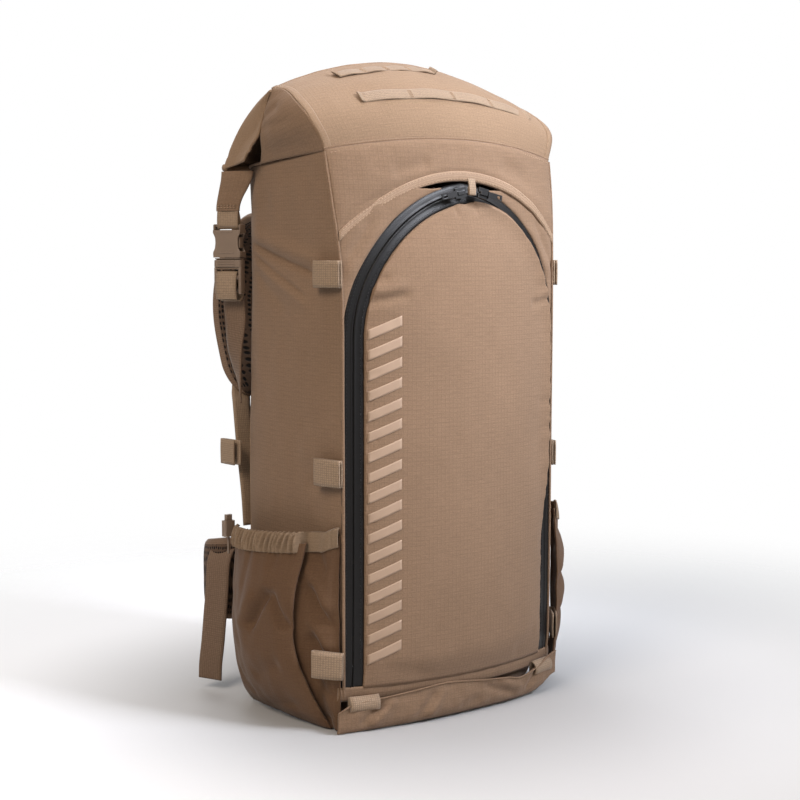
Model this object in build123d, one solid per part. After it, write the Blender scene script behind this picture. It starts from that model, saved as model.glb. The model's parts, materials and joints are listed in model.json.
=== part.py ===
"""Roll-top hunting backpack with an arched zip door, side pockets and a full harness.

Millimetres. +Z is up, -Y is the outer face with the zip door, +Y is the wearer's side, and the
origin is on the ground under the middle of the bag.
"""
import os
from math import cos, radians, sin, sqrt

from build123d import *

# Bag body
SEAM_Z = 540.0  # height of the front top seam at its ends
SEAM_CROWN = 14.0  # rise of that seam at its middle
SKIN = 3.0  # lined and padded fabric
GAP = 0.3  # clearance between sewn panels
BASE_Z = 30.0  # top edge of the base tray
BACK_Y = 85.0  # outer face of the back panel
# height: (front half width, front seam y, front bulge, back half width)
SECTIONS = {
    BASE_Z: (130.0, -86.0, 24.0, 124.0),
    60.0: (133.0, -89.0, 26.0, 127.0),
    300.0: (134.0, -90.0, 26.0, 128.0),
    430.0: (135.0, -90.0, 26.0, 130.0),
    500.0: (141.0, -80.0, 24.0, 132.0),
    562.0: (148.5, -60.0, 20.0, 136.0),
}
SIDE_BULGE = 3.0

# Zip arch: each side is one arc, and the two meet in a slight point
ARCH_CENTRE_X = 12.4
ARCH_CENTRE_Z = 366.4
TAPE_OUT_R = 146.0
COIL_R = 137.0
TAPE_IN_R = 128.0
COIL_W = 1.3
DOOR_Z = 42.0  # lowest line of the door

# Roll top
RIDGE_Z = 632.0
RIDGE_DROP = 32.0  # how much lower the ridge is at its ends
RIDGE_Y = 0.0
HEM_Z = 529.0
HEM_Y = 103.0
TOP_HALF = 146.0
SHARES = tuple(i / 4 for i in range(-4, 5))  # where the top and flap have their sections

# Webbing and hardware
WEB = 25.0
WEB_T = 1.6
BUCKLE_X = 148.0
BUCKLE_Y = 90.0
BUCKLE_TURN = -20.0
SOCKET_Z = 442.0  # mouth of the fixed half
STERNUM_Y = 164.2
HIP_Y = 153.5


def mirrored(shape):
    """The same shape on the right-hand side."""
    return mirror(shape, about=Plane.YZ)


def save(name, *shapes):
    """One STEP file for one named piece, or group of like pieces."""
    solids = [s for shape in shapes for s in shape.solids()]
    export_step(Compound(children=[s for s in solids]) if len(solids) > 1 else solids[0],
                os.path.join("parts", name + ".step"))


def slab(x0, x1, y0, y1, z0, z1, r=0.0, along=Axis.Y):
    """A block between two corners, with the edges that run along one axis rounded."""
    block = Pos((x0 + x1) / 2, (y0 + y1) / 2, (z0 + z1) / 2) * Box(x1 - x0, y1 - y0, z1 - z0)
    return fillet(block.edges().filter_by(along), r) if r else block


def shifted(points, d):
    """The points of an open line moved sideways by d."""
    out = []
    for i, (u, v) in enumerate(points):
        a, b = points[max(i - 1, 0)], points[min(i + 1, len(points) - 1)]
        du, dv = b[0] - a[0], b[1] - a[1]
        n = sqrt(du * du + dv * dv)
        out.append((u - d * dv / n, v + d * du / n))
    return out


def band(points, thickness, plane=Plane.YZ):
    """A face that follows a smooth open line, with a constant thickness."""
    left = Spline(*shifted(points, thickness / 2))
    right = Spline(*shifted(points, -thickness / 2))
    return make_face(plane * (left + Line(left @ 1, right @ 1) + right + Line(right @ 0, left @ 0)))


def webbing_loop(length, height, wall=WEB_T, width=WEB):
    """A folded tab: a flat ring standing along Z, sewn end at x=0 and fold at x=length."""
    outer = SlotOverall(length, height)
    inner = SlotOverall(length - 2 * wall, height - 2 * wall)
    return Pos(length / 2, 0, -width / 2) * extrude(outer - inner, width)


def front_face(z, depth0, depth1, trim=GAP):
    """The front skin's section at height z, between two depths under its outer face."""
    half, y, bulge, _ = SECTIONS[z]
    half -= trim
    outer = ThreePointArc((-half, y + depth0), (0, y - bulge + depth0), (half, y + depth0))
    inner = ThreePointArc((-half, y + depth1), (0, y - bulge + depth1), (half, y + depth1))
    edge = outer + Line(outer @ 1, inner @ 1) + inner + Line(inner @ 0, outer @ 0)
    return make_face(Plane.XY.offset(z) * edge)


def front_skin(depth0, depth1):
    """The whole front as one curved sheet, to be cut into its pieces."""
    return loft([front_face(z, depth0, depth1) for z in SECTIONS], ruled=True)


def side_skin():
    """The left side panel with its crowned outer face."""
    faces = []
    for z, (half, y, _, back_half) in SECTIONS.items():
        y0, y1 = y + SKIN + GAP, BACK_Y - SKIN - GAP
        middle = (half + back_half) / 2 + SIDE_BULGE
        outer = ThreePointArc((-half, y0), (-middle, (y0 + y1) / 2), (-back_half, y1))
        inner = ThreePointArc((SKIN - half, y0), (SKIN - middle, (y0 + y1) / 2), (SKIN - back_half, y1))
        edge = outer + Line(outer @ 1, inner @ 1) + inner + Line(inner @ 0, outer @ 0)
        faces.append(make_face(Plane.XY.offset(z) * edge))
    return loft(faces, ruled=True) & slab(-200, 0, -200, 200, 0, SEAM_Z - 1)


def arch(radius, bottom):
    """A prism through the front, in the outline of the zip at one radius."""
    cx, cz = ARCH_CENTRE_X, ARCH_CENTRE_Z
    apex = cz + sqrt(radius**2 - cx**2)
    turn = radians(45)
    foot = cx - radius
    left = ThreePointArc((foot, cz), (cx - radius * cos(turn), cz + radius * sin(turn)), (0, apex))
    right = ThreePointArc((0, apex), (-cx + radius * cos(turn), cz + radius * sin(turn)), (-foot, cz))
    edge = left + right + Line((-foot, cz), (-foot, bottom)) + Line((-foot, bottom), (foot, bottom))
    edge += Line((foot, bottom), (foot, cz))
    return extrude(make_face(Plane.XZ * edge), 250, both=True)


def everything_below(line):
    """A prism under a line drawn across the front."""
    left, right = line @ 0, line @ 1
    edge = line + Polyline(right, (right.X, -5), (left.X, -5), left)
    return extrude(make_face(Plane.XZ * edge), 250, both=True)


def front_outline():
    """Everything below the crowned top seam."""
    seam = ThreePointArc((-170, SEAM_Z - 6), (0, SEAM_Z + SEAM_CROWN), (170, SEAM_Z - 6))
    return everything_below(seam)


def hood_outline(drop=0.0):
    """Everything below the hood's bound edge."""
    hem = ThreePointArc((-150, 449 - drop), (0, 517 - drop), (150, 449 - drop))
    return everything_below(hem)


def make_front():
    """Hood, border, zip and door, all cut from the same curved front."""
    skin = front_skin(0, SKIN)
    below_hood = hood_outline()
    save("front_hood", (skin & front_outline()) - below_hood)
    save("hood_binding", (front_skin(-1.5, -0.3) & below_hood & front_outline()) - hood_outline(10))
    save("front_border", (skin & hood_outline(0.4)) - arch(TAPE_OUT_R, 0))
    save("front_door", skin & arch(TAPE_IN_R, DOOR_Z))
    below = slab(-TAPE_OUT_R, TAPE_OUT_R, -200, 0, BASE_Z, DOOR_Z - 2 * GAP)
    save("door_sill", skin & arch(TAPE_IN_R, 0) & below)
    tape, coil = front_skin(0.8, 2.0), front_skin(0.0, 2.6)
    save("zip_tape_frame", (tape & arch(TAPE_OUT_R - GAP, BASE_Z)) - arch(COIL_R + COIL_W + 0.2, 0))
    save("zip_coil_frame", (coil & arch(COIL_R + COIL_W, BASE_Z)) - arch(COIL_R + 0.1, 0))
    save("zip_coil_door", (coil & arch(COIL_R - 0.1, DOOR_Z)) - arch(COIL_R - COIL_W, 0))
    save("zip_tape_door", (tape & arch(COIL_R - COIL_W - 0.2, DOOR_Z)) - arch(TAPE_IN_R + GAP, 0))
    save("arch_tab", slab(-4, 4, -119.6, -117.4, 489, 511))


def make_shell():
    """Side and back panels and the base tray."""
    side = side_skin()
    save("side_panel_left", side)
    save("side_panel_right", mirrored(side))
    save("back_panel", slab(-129, 129, BACK_Y - SKIN, BACK_Y, BASE_Z + GAP, 524))
    trays = []
    for inset, levels in ((0.0, ((0.0, 24.0), (12.0, 8.0), (BASE_Z - GAP, 1.0))),
                          (SKIN, ((SKIN, 24.0), (14.0, 9.0), (BASE_Z + 5, 1.0)))):
        faces = []
        for z, pull in levels:
            half, front, back = 129 - pull - inset, -86 + pull + inset, BACK_Y - pull - inset
            arc = ThreePointArc((-half, front), (0, front - 23), (half, front))
            rest = Polyline((half, front), (half, back), (-half, back), (-half, front))
            face = make_face(Plane.XY.offset(z) * (arc + rest))
            faces.append(fillet(face.vertices(), 14))
        trays.append(loft(faces, ruled=True))
    save("base_panel", trays[0] - trays[1])
    apron = []
    for z, out in ((1.0, 6.0), (12.0, 15.0), (36.0, 13.5)):
        front = ThreePointArc((-126, -92 - out / 3), (0, -101 - out), (126, -92 - out / 3))
        back = ThreePointArc((-126, -89 - out / 3), (0, -98.6 - out), (126, -89 - out / 3))
        edge = front + Line(front @ 1, back @ 1) + back + Line(back @ 0, front @ 0)
        apron.append(make_face(Plane.XY.offset(z) * edge))
    hem = ThreePointArc((-140, 14), (-10, 36), (140, 14))
    save("base_apron", loft(apron, ruled=True) & everything_below(hem))


def top_curve(share):
    """The outer line of the sloped top, front to ridge, at a share of its half width."""
    s2 = share * share
    front = (-82 + 18 * s2, SEAM_Z + SEAM_CROWN + 3 - 14 * s2)
    middle = (-58 + 10 * s2, 603 - 26 * s2)
    return front, middle, (RIDGE_Y - 4 + 6 * s2, RIDGE_Z - RIDGE_DROP * s2)


def flap_curve(share):
    """The line of the flap, ridge to hem, at a share of its half width."""
    s2 = share * share
    return (RIDGE_Y + 1 + 6 * s2, RIDGE_Z - RIDGE_DROP * s2), (64, 592 - 16 * s2), (HEM_Y - 7 * s2, HEM_Z)


def across(x):
    """The upright plane across the bag at x, with the sketch's x running back."""
    return Plane(origin=(x, 0, 0), x_dir=(0, 1, 0), z_dir=(1, 0, 0))


def lash_row(along, half):
    """A row of webbing that follows the top from side to side."""
    faces = []
    for share in SHARES:
        x = share * half
        curve = ThreePointArc(*top_curve(x / (TOP_HALF - 4)))
        at, way = curve @ along, (curve % along).normalized()
        out = Vector(-way.Y, way.X)
        near, far = SKIN / 2 + 3 * GAP, SKIN / 2 + 3 * GAP + WEB_T
        corners = [at + way * u + out * v for u, v in ((-9.5, near), (9.5, near), (9.5, far), (-9.5, far))]
        faces.append(make_face(across(x) * Polyline(*corners, close=True)))
    return loft(faces, ruled=True)


def make_top():
    """The sloped top, its side gussets, and the flap that folds back over the mouth."""
    tops = [across(s * (TOP_HALF - 4)) * band_flat(top_curve(s)) for s in SHARES]
    flaps = [across(s * (TOP_HALF + 8)) * band_flat(flap_curve(s)) for s in SHARES]
    save("top_panel", loft(tops, ruled=True))
    save("roll_flap", loft(flaps, ruled=True))
    save("roll_stiffener", Pos(0, 87.5, 532.5) * Rot(0, 90, 0) * Cylinder(4.5, 300))
    gusset = Polyline((-58, SEAM_Z), (-44, 574), (-4, 596), (48, SEAM_Z), close=True)
    plate = Pos(-140, 0, 0) * extrude(make_face(Plane.YZ * gusset), SKIN)
    save("top_gussets", plate, mirrored(plate))
    save("lash_webbing", lash_row(0.42, 106), lash_row(0.80, 96))


def band_flat(points):
    """A skin-thick section through three points, in the sketch plane."""
    left = ThreePointArc(*shifted(points, SKIN / 2))
    right = ThreePointArc(*shifted(points, -SKIN / 2))
    return make_face(left + Line(left @ 1, right @ 1) + right + Line(right @ 0, left @ 0))


def make_zip_pulls():
    """A slider each side of the peak, and the pull that lies along the zip beside it."""
    for side, name in ((1, "left"), (-1, "right")):
        at = Pos(-14 * side, -118.2, 502.2) * Rot(0, -side * 11, 0) * Rot(0, 0, -side * 3)
        body = Box(13, 2.0, 10) - Box(13, 3, 1.2)
        bridge = Pos(0, -1.9, 0) * Box(9, 1.8, 3.5) - Pos(0, -1.4, 0) * Box(4.6, 1.0, 5)
        slider = at * (body + Box(9, 2.0, 3.5) + bridge)
        save("zip_slider_" + name, slider)
        pull = at * (Pos(-side * 14.2, -2.2, 0) * (Box(18, 1.2, 6) - Pos(-side * 5, 0, 0) * Box(4, 2, 3)))
        save("zip_pull_" + name, pull)


def make_pockets():
    """Side pockets: an outer wall that bows out from seam to seam, open at the top."""
    def lens(y0, y1, base_x, out, z, notch=0.0):
        arc = ThreePointArc((-base_x, y0), (-base_x - out, (y0 + y1) / 2), (-base_x, y1))
        if not notch:
            return make_face(Plane.XY.offset(z) * (arc + Line((-base_x, y1), (-base_x, y0))))
        corners = ((-base_x, y1), (notch - base_x, y1), (notch - base_x, y0), (-base_x, y0))
        return make_face(Plane.XY.offset(z) * (arc + Polyline(*corners)))

    heights = ((2.0, 14.0), (14.0, 26.0), (70.0, 40.0), (150.0, 36.0), (184.0, 24.0))
    outer = loft([lens(-84, 80, 137.8, out, z) for z, out in heights], ruled=True)
    inner = loft([lens(-81, 77, 137.6, out - 2.5, z + 3.0, 6.0) for z, out in heights], ruled=True)
    hem = Polyline((-100, 184.5), (100, 166), (100, 260), (-100, 260), close=True)
    pocket = outer - inner - extrude(make_face(Plane.YZ * hem), 250, both=True)
    save("side_pocket_left", pocket)
    save("side_pocket_right", mirrored(pocket))
    at = Pos(-146, 83.5, 172)
    lock = at * (slab(-6, 6, -4, 4, -8, 8, 2, Axis.Z) - Pos(0, 0, 4.5) * Box(8, 5, 9))
    button = at * Pos(0, 0, 8) * slab(-3.6, 3.6, -2.1, 2.1, -4, 6, 1, Axis.Z)
    tail = at * Pos(0, 0, -17) * Cylinder(1.25, 17)
    save("cord_locks", lock, mirrored(lock), tail, mirrored(tail))
    save("cord_button_left", button)
    save("cord_button_right", mirrored(button))


def make_tabs():
    """Compression tabs on the side seams and two lash loops at the base corners."""
    loop = webbing_loop(28, 4.6)
    upright = Rot(0, 0, 90) * loop
    left = [Pos(-141.4, -86.5, 427) * upright, Pos(-140.4, -86.5, 244) * upright]
    left.append(Pos(-144.1, -91.0, 65) * Rot(0, 0, 122) * webbing_loop(25, 4.6))
    left.append(Pos(-135.4, 86.5, 247) * Rot(0, 0, 90) * webbing_loop(24, 4.6))
    save("side_tabs", *left, *[mirrored(t) for t in left])
    corner = Pos(-112, -97.5, 34) * Rot(0, 0, -14) * Rot(-90, 0, 0) * Rot(0, 90, 0)
    corner = corner * webbing_loop(20, 7, width=30)
    save("base_loops", corner, mirrored(corner))


def buckle_socket(w, length=33.0, thick=11.0):
    """The fixed half of a side-release buckle, mouth at z=0 and webbing bar at the top."""
    shell = extrude(RectangleRounded(w + 8, thick, 3.5), length)
    cavity = Pos(0, 0, -1) * extrude(Rectangle(w + 5.0, thick - 4), length - 8)
    windows = Pos(0, 0, 15) * Box(w + 20, thick - 4, 15)
    slot = Pos(0, 0, length - 4.2) * Box(w + 1.5, 20, 4)
    return shell - cavity - windows - slot


def buckle_plug(w, thick=11.0):
    """The moving half: centre guide going up into the socket, and a ladder lock below."""
    body = Pos(0, 0, -10.5) * extrude(RectangleRounded(w + 8, thick, 3.5), 10)
    guide = Pos(0, 0, 7.5) * Box(4.5, thick - 5, 17)
    rails = [Pos(s * (w / 2 + 2), 0, -22.5) * Box(4, thick, 25) for s in (-1, 1)]
    bars = [Pos(0, 2.4, -19.5) * Rot(0, 90, 0) * Cylinder(2.2, w + 1)]
    bars.append(Pos(0, -2.6, -30.5) * Rot(0, 90, 0) * Cylinder(3.0, w + 1))
    return body + guide + rails + bars


def buckle_prong(w, side, thick=11.0):
    """One spring arm of the plug, with its finger pad in the socket's side window."""
    arm = Pos(side * (w / 2 - 3.4), 0, 6.9) * Box(2.6, thick - 5, 13.4)
    pad = Pos(side * (w / 2 - 0.2), 0, 14.6) * Box(4.8, thick - 5, 11)
    foot = Pos(side * (w / 2 - 3.4), 0, 0.7) * Box(2.6, thick - 5, 1.0)
    return arm + pad + foot


def make_roll_buckles():
    """Side closures of the roll top: webbing, buckle and anchor strap at each side."""
    at = Pos(-BUCKLE_X, BUCKLE_Y, SOCKET_Z) * Rot(0, 0, 90 - BUCKLE_TURN)
    socket = at * buckle_socket(WEB)
    drop = at * Pos(0, 0, 57) * Box(WEB, WEB_T, 46.8)
    tail = at * Pos(0, -6.9, -78) * Box(WEB, WEB_T, 84)
    save("roll_buckle_sockets", socket, mirrored(socket))
    save("roll_straps", drop, mirrored(drop))
    save("anchor_straps", tail, mirrored(tail))
    for name, flip in (("left", lambda s: s), ("right", mirrored)):
        save("roll_buckle_plug_" + name, flip(at * buckle_plug(WEB)))
        save("roll_prong_front_" + name, flip(at * buckle_prong(WEB, -1)))
        save("roll_prong_back_" + name, flip(at * buckle_prong(WEB, 1)))


def make_harness():
    """Pads, shoulder straps, haul loop, sternum strap and hip belt."""
    pads = [slab(s * 60 - 42, s * 60 + 42, BACK_Y + GAP, BACK_Y + 13, 150, 455, 18) for s in (-1, 1)]
    save("back_pads", *pads)
    save("lumbar_pad", slab(-92, 92, BACK_Y + GAP, BACK_Y + 16, 56, 140, 16))
    profile = [(89, 468), (114, 481), (141, 468), (156, 436), (156, 400), (144.5, 366), (127, 332), (109, 300)]
    side_view = extrude(band(profile, 11), 200, both=True)
    outline = Polyline((-28, 520), (-82, 520), (-110, 440), (-124, 360), (-126, 285), (-70, 285), (-64, 360),
                       (-48, 440), close=True)
    strap = side_view & extrude(make_face(Plane.XZ * outline), 300, both=True)
    strap = strap & slab(-200, 0, BACK_Y + 1, 300, 0, 600)
    save("shoulder_strap_left", strap)
    save("shoulder_strap_right", mirrored(strap))
    hanging = [(107, 294), (99, 250), (91, 205), (BACK_Y + 2, 172)]
    lower = Pos(-106, 0, 0) * extrude(band(hanging, WEB_T), 20)
    save("strap_webbing_left", lower)
    save("strap_webbing_right", mirrored(lower))
    haul = ThreePointArc((-46, BACK_Y + 1.6), (0, BACK_Y + 34), (46, BACK_Y + 1.6))
    inside = ThreePointArc((-43, BACK_Y + 1.6), (0, BACK_Y + 31.6), (43, BACK_Y + 1.6))
    ring = make_face(haul + Line(haul @ 1, inside @ 1) + inside + Line(inside @ 0, haul @ 0))
    save("haul_loop", Pos(0, 0, 496) * extrude(ring, WEB))
    make_sternum()
    make_hip_belt()


def whole_plug(w, thick):
    """A plug moulded in one piece with its arms."""
    return buckle_plug(w, thick) + buckle_prong(w, -1, thick) + buckle_prong(w, 1, thick) + Box(w - 2, 3, 2)


def make_sternum():
    """Two halves that slide on the shoulder straps, hanging open between them."""
    z, y = 404.0, STERNUM_Y
    turn = Rot(0, 90, 0)
    for name, side, inner in (("left", -1, 52.2), ("right", 1, 38.4)):
        keeper = Pos(side * 84, y + 2.2, z) * Box(34, 3.2, 24)
        strip = Pos(side * (67 + inner) / 2, y + 2.8, z) * Box(67 - inner, WEB_T, 19)
        save("sternum_strap_" + name, keeper + strip)
    save("sternum_socket", Pos(5, y + 3.8, z) * turn * buckle_socket(19, 33, 9))
    save("sternum_plug", Pos(-16.5, y + 3.8, z) * turn * whole_plug(19, 9))


def make_hip_belt():
    """Padded wings folded behind the lumbar pad, with an open buckle between them."""
    path = [(-95.5, 107), (-116, 106), (-134, 113), (-140, 128), (-131, 143), (-106, 151), (-76, 153)]
    wing = Pos(0, 0, 72) * extrude(band(path, 12, Plane.XY), 84)
    tail = Pos(-152, 120, 63) * Rot(0, 0, 125) * Box(WEB, WEB_T, 106)
    turn = Rot(0, 90, 0)
    for name, side, inner in (("left", -1, 56.8), ("right", 1, 40.4)):
        strip = Pos(side * (75.8 + inner) / 2, HIP_Y, 114) * Box(75.8 - inner, WEB_T, 38)
        save("hip_wing_" + name, wing if side < 0 else mirrored(wing))
        save("hip_webbing_" + name, strip, tail if side < 0 else mirrored(tail))
    save("hip_socket", Pos(7, HIP_Y, 114) * turn * buckle_socket(38, 33, 12))
    save("hip_plug", Pos(-21.5, HIP_Y, 114) * turn * whole_plug(38, 12))


def make_inside():
    """What the shell hides: frame sheet, aluminium stays and the bladder sleeve."""
    save("frame_sheet", slab(-112, 112, 79.5, 81.4, 40, 515, 20))
    stays = [slab(s * 62 - 9, s * 62 + 9, 76.0, 79.2, 44, 510, 8) for s in (-1, 1)]
    save("frame_stays", *stays)
    save("bladder_sleeve", slab(-95, 95, 70.5, 72.0, 120, 420) + slab(-95, 95, 72.0, 75.4, 120, 122))


os.makedirs("parts", exist_ok=True)
make_front()
make_shell()
make_top()
make_zip_pulls()
make_pockets()
make_tabs()
make_roll_buckles()
make_harness()
make_inside()
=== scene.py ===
import json
import math

import bmesh
import bpy
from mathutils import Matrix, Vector, noise

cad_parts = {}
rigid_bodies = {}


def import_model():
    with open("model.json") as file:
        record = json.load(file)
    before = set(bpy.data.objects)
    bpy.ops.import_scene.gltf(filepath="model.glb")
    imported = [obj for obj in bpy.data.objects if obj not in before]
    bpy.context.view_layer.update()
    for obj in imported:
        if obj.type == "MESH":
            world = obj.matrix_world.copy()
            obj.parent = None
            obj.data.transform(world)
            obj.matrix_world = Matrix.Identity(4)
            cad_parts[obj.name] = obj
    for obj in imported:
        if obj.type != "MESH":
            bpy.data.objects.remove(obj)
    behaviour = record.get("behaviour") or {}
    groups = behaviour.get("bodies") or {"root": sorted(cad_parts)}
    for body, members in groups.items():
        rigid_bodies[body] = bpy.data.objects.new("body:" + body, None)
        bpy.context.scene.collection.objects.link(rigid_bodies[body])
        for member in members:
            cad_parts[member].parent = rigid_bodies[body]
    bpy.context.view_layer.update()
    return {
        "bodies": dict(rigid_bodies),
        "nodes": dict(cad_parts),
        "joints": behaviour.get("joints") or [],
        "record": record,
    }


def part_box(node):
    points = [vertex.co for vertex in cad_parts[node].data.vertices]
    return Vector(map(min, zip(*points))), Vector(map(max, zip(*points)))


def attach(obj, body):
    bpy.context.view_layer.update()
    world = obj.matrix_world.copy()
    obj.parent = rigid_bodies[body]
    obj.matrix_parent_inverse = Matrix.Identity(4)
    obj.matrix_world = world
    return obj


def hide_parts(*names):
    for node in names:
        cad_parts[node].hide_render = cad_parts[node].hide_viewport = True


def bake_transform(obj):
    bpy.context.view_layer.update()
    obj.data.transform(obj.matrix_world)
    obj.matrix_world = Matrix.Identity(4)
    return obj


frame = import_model()
mm = 0.001

# camera, floor and light

cameraSet = {"place": (-0.9814, -1.265, 0.443), "azimuth": -38.0, "down": 5.15, "lens": 71.64}
lightSet = {
    "surround": 0.26,
    "lamps": {
        "key": {"place": (0.38, -0.85, 0.95), "aim": (0.03, -0.1, 0.40), "size": 0.4, "spread": 50,
                "power": 2.1, "colour": "#f0f4ff"},
        "side": {"place": (-1.5, -0.5, 1.5), "aim": (0, 0, 0.3), "size": 0.8, "spread": 180, "power": 20,
                 "colour": "#fff0e0"},
        "top": {"place": (0.1, 0.1, 1.6), "aim": (0, 0, 0.3), "size": 1.0, "spread": 180, "power": 14,
                "colour": "#f2f5ff"},
        "back": {"place": (0.6, 1.9, 1.2), "aim": (0, 0, 0.3), "size": 1.2, "spread": 180, "power": 12,
                 "colour": "#ffffff"},
    },
}


def linear(hexText):
    parts = [int(hexText[i:i + 2], 16) / 255 for i in (1, 3, 5)]
    return [c / 12.92 if c <= 0.04045 else ((c + 0.055) / 1.055) ** 2.4 for c in parts] + [1.0]


def makeCamera():
    data = bpy.data.cameras.new("camera")
    data.lens = cameraSet["lens"]
    data.sensor_width = 36
    data.clip_start = 0.05
    camera = bpy.data.objects.new("camera", data)
    bpy.context.collection.objects.link(camera)
    camera.location = cameraSet["place"]
    turn = math.radians(90 - cameraSet["down"])
    camera.rotation_euler = (turn, 0, math.radians(cameraSet["azimuth"]))
    bpy.context.scene.camera = camera


def makeLights():
    for name, s in lightSet["lamps"].items():
        data = bpy.data.lights.new(name, "AREA")
        data.size = s["size"]
        data.energy = s["power"]
        data.spread = math.radians(s["spread"])
        data.color = linear(s["colour"])[:3]
        lamp = bpy.data.objects.new(name, data)
        bpy.context.collection.objects.link(lamp)
        lamp.location = s["place"]
        aim = Vector(s["aim"]) - Vector(s["place"])
        lamp.rotation_euler = aim.to_track_quat("-Z", "Y").to_euler()
    world = bpy.data.worlds.new("studio")
    world.use_nodes = True
    tree = world.node_tree
    tree.nodes["Background"].inputs["Color"].default_value = linear("#ffffff")
    seen = tree.nodes.new("ShaderNodeLightPath")  # a white sweep behind the bag, dimmer as a light on it
    level = tree.nodes.new("ShaderNodeMapRange")
    level.inputs["To Min"].default_value = lightSet["surround"]
    level.inputs["To Max"].default_value = 1.0
    tree.links.new(seen.outputs["Is Camera Ray"], level.inputs["Value"])
    tree.links.new(level.outputs[0], tree.nodes["Background"].inputs["Strength"])
    bpy.context.scene.world = world
    bpy.context.scene.view_settings.view_transform = "Standard"


makeCamera()
makeLights()
print("camera and light are set")

# node helper and materials


def addNode(tree, kind, sets=None, links=None):
    made = tree.nodes.new("ShaderNode" + kind)
    for key, value in (sets or {}).items():
        if isinstance(key, str) and hasattr(made, key) and key not in made.inputs:
            setattr(made, key, value)
        else:
            made.inputs[key].default_value = value
    for key, source in (links or {}).items():
        tree.links.new(source, made.inputs[key])
    return made


def newMaterial(name, settings):
    material = bpy.data.materials.new(name)
    material.use_nodes = True
    tree = material.node_tree
    shader = tree.nodes["Principled BSDF"]
    for key, value in settings.items():
        shader.inputs[key].default_value = value
    return material, tree, shader


def uvScaled(tree, across, along):
    uv = addNode(tree, "TexCoord").outputs["UV"]
    return addNode(tree, "Mapping", {"Scale": (across, along, 1)}, {"Vector": uv}).outputs[0]


clothSet = {
    "roughness": 0.82,
    "grid": 0.0044,     # ripstop spacing in metres
    "thread": 0.0011,   # threads are drawn at about twice their size so that they show
    "slub": (70, 900),  # streaks of uneven yarn, longer across the panel than up it
}


def clothMaterial(name, lightHex, darkHex, gridShow=0.07, relief=0.32):
    # coated nylon with a ripstop grid: dull, dry, and a little fuzzy at grazing angles
    material, tree, shader = newMaterial(name, {
        "Roughness": clothSet["roughness"], "Specular IOR Level": 0.28, "Sheen Weight": 0.10,
        "Sheen Roughness": 0.45})
    flat = uvScaled(tree, 1, 1)
    patch = addNode(tree, "TexNoise", {"Scale": 9.0, "Detail": 3.0}, {"Vector": flat})
    slub = addNode(tree, "TexNoise", {"Scale": 1.0, "Detail": 4.0, "Roughness": 0.65},
                   {"Vector": uvScaled(tree, *clothSet["slub"])})
    speck = addNode(tree, "TexNoise", {"Scale": 700.0, "Detail": 2.0}, {"Vector": flat})
    fine = 0.314 / clothSet["thread"]
    lines = 0.314 / clothSet["grid"]
    waves = {}
    for label, scale, direction in (("gridX", lines, "X"), ("gridY", lines, "Y"),
                                    ("threadX", fine, "X"), ("threadY", fine, "Y")):
        waves[label] = addNode(tree, "TexWave", {"Scale": scale, "bands_direction": direction},
                               {"Vector": flat})
    grid = addNode(tree, "Math", {"operation": "MAXIMUM"},
                   {0: waves["gridX"].outputs["Fac"], 1: waves["gridY"].outputs["Fac"]})
    rib = addNode(tree, "MapRange", {"From Min": 0.80, "From Max": 0.99}, {"Value": grid.outputs[0]})
    weave = addNode(tree, "Math", {"operation": "MULTIPLY"},
                    {0: waves["threadX"].outputs["Fac"], 1: waves["threadY"].outputs["Fac"]})
    base = addNode(tree, "Mix", {"data_type": "RGBA", 6: linear(darkHex), 7: linear(lightHex)},
                   {0: patch.outputs["Fac"]})
    streak = addNode(tree, "MapRange", {"From Min": 0.3, "From Max": 0.7, "To Min": 0.90, "To Max": 1.08},
                     {"Value": slub.outputs["Fac"]})
    dots = addNode(tree, "MapRange", {"From Min": 0.3, "From Max": 0.7, "To Min": 0.88, "To Max": 1.10},
                   {"Value": speck.outputs["Fac"]})
    both = addNode(tree, "Math", {"operation": "MULTIPLY"}, {0: streak.outputs[0], 1: dots.outputs[0]})
    ribTone = addNode(tree, "MapRange", {"To Min": 1.0, "To Max": 1.0 - gridShow}, {"Value": rib.outputs[0]})
    toned = addNode(tree, "Math", {"operation": "MULTIPLY"}, {0: both.outputs[0], 1: ribTone.outputs[0]})
    tinted = addNode(tree, "VectorMath", {"operation": "SCALE"},
                     {0: base.outputs[2], "Scale": toned.outputs[0]})
    tree.links.new(tinted.outputs[0], shader.inputs["Base Color"])
    raised = addNode(tree, "Math", {"operation": "MULTIPLY_ADD", 1: 0.8},
                     {0: rib.outputs[0], 2: weave.outputs[0]})
    height = addNode(tree, "Math", {"operation": "ADD"}, {0: raised.outputs[0], 1: slub.outputs["Fac"]})
    bumped = addNode(tree, "Bump", {"Strength": relief, "Distance": 0.0003}, {"Height": height.outputs[0]})
    tree.links.new(bumped.outputs[0], shader.inputs["Normal"])
    return material


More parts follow.
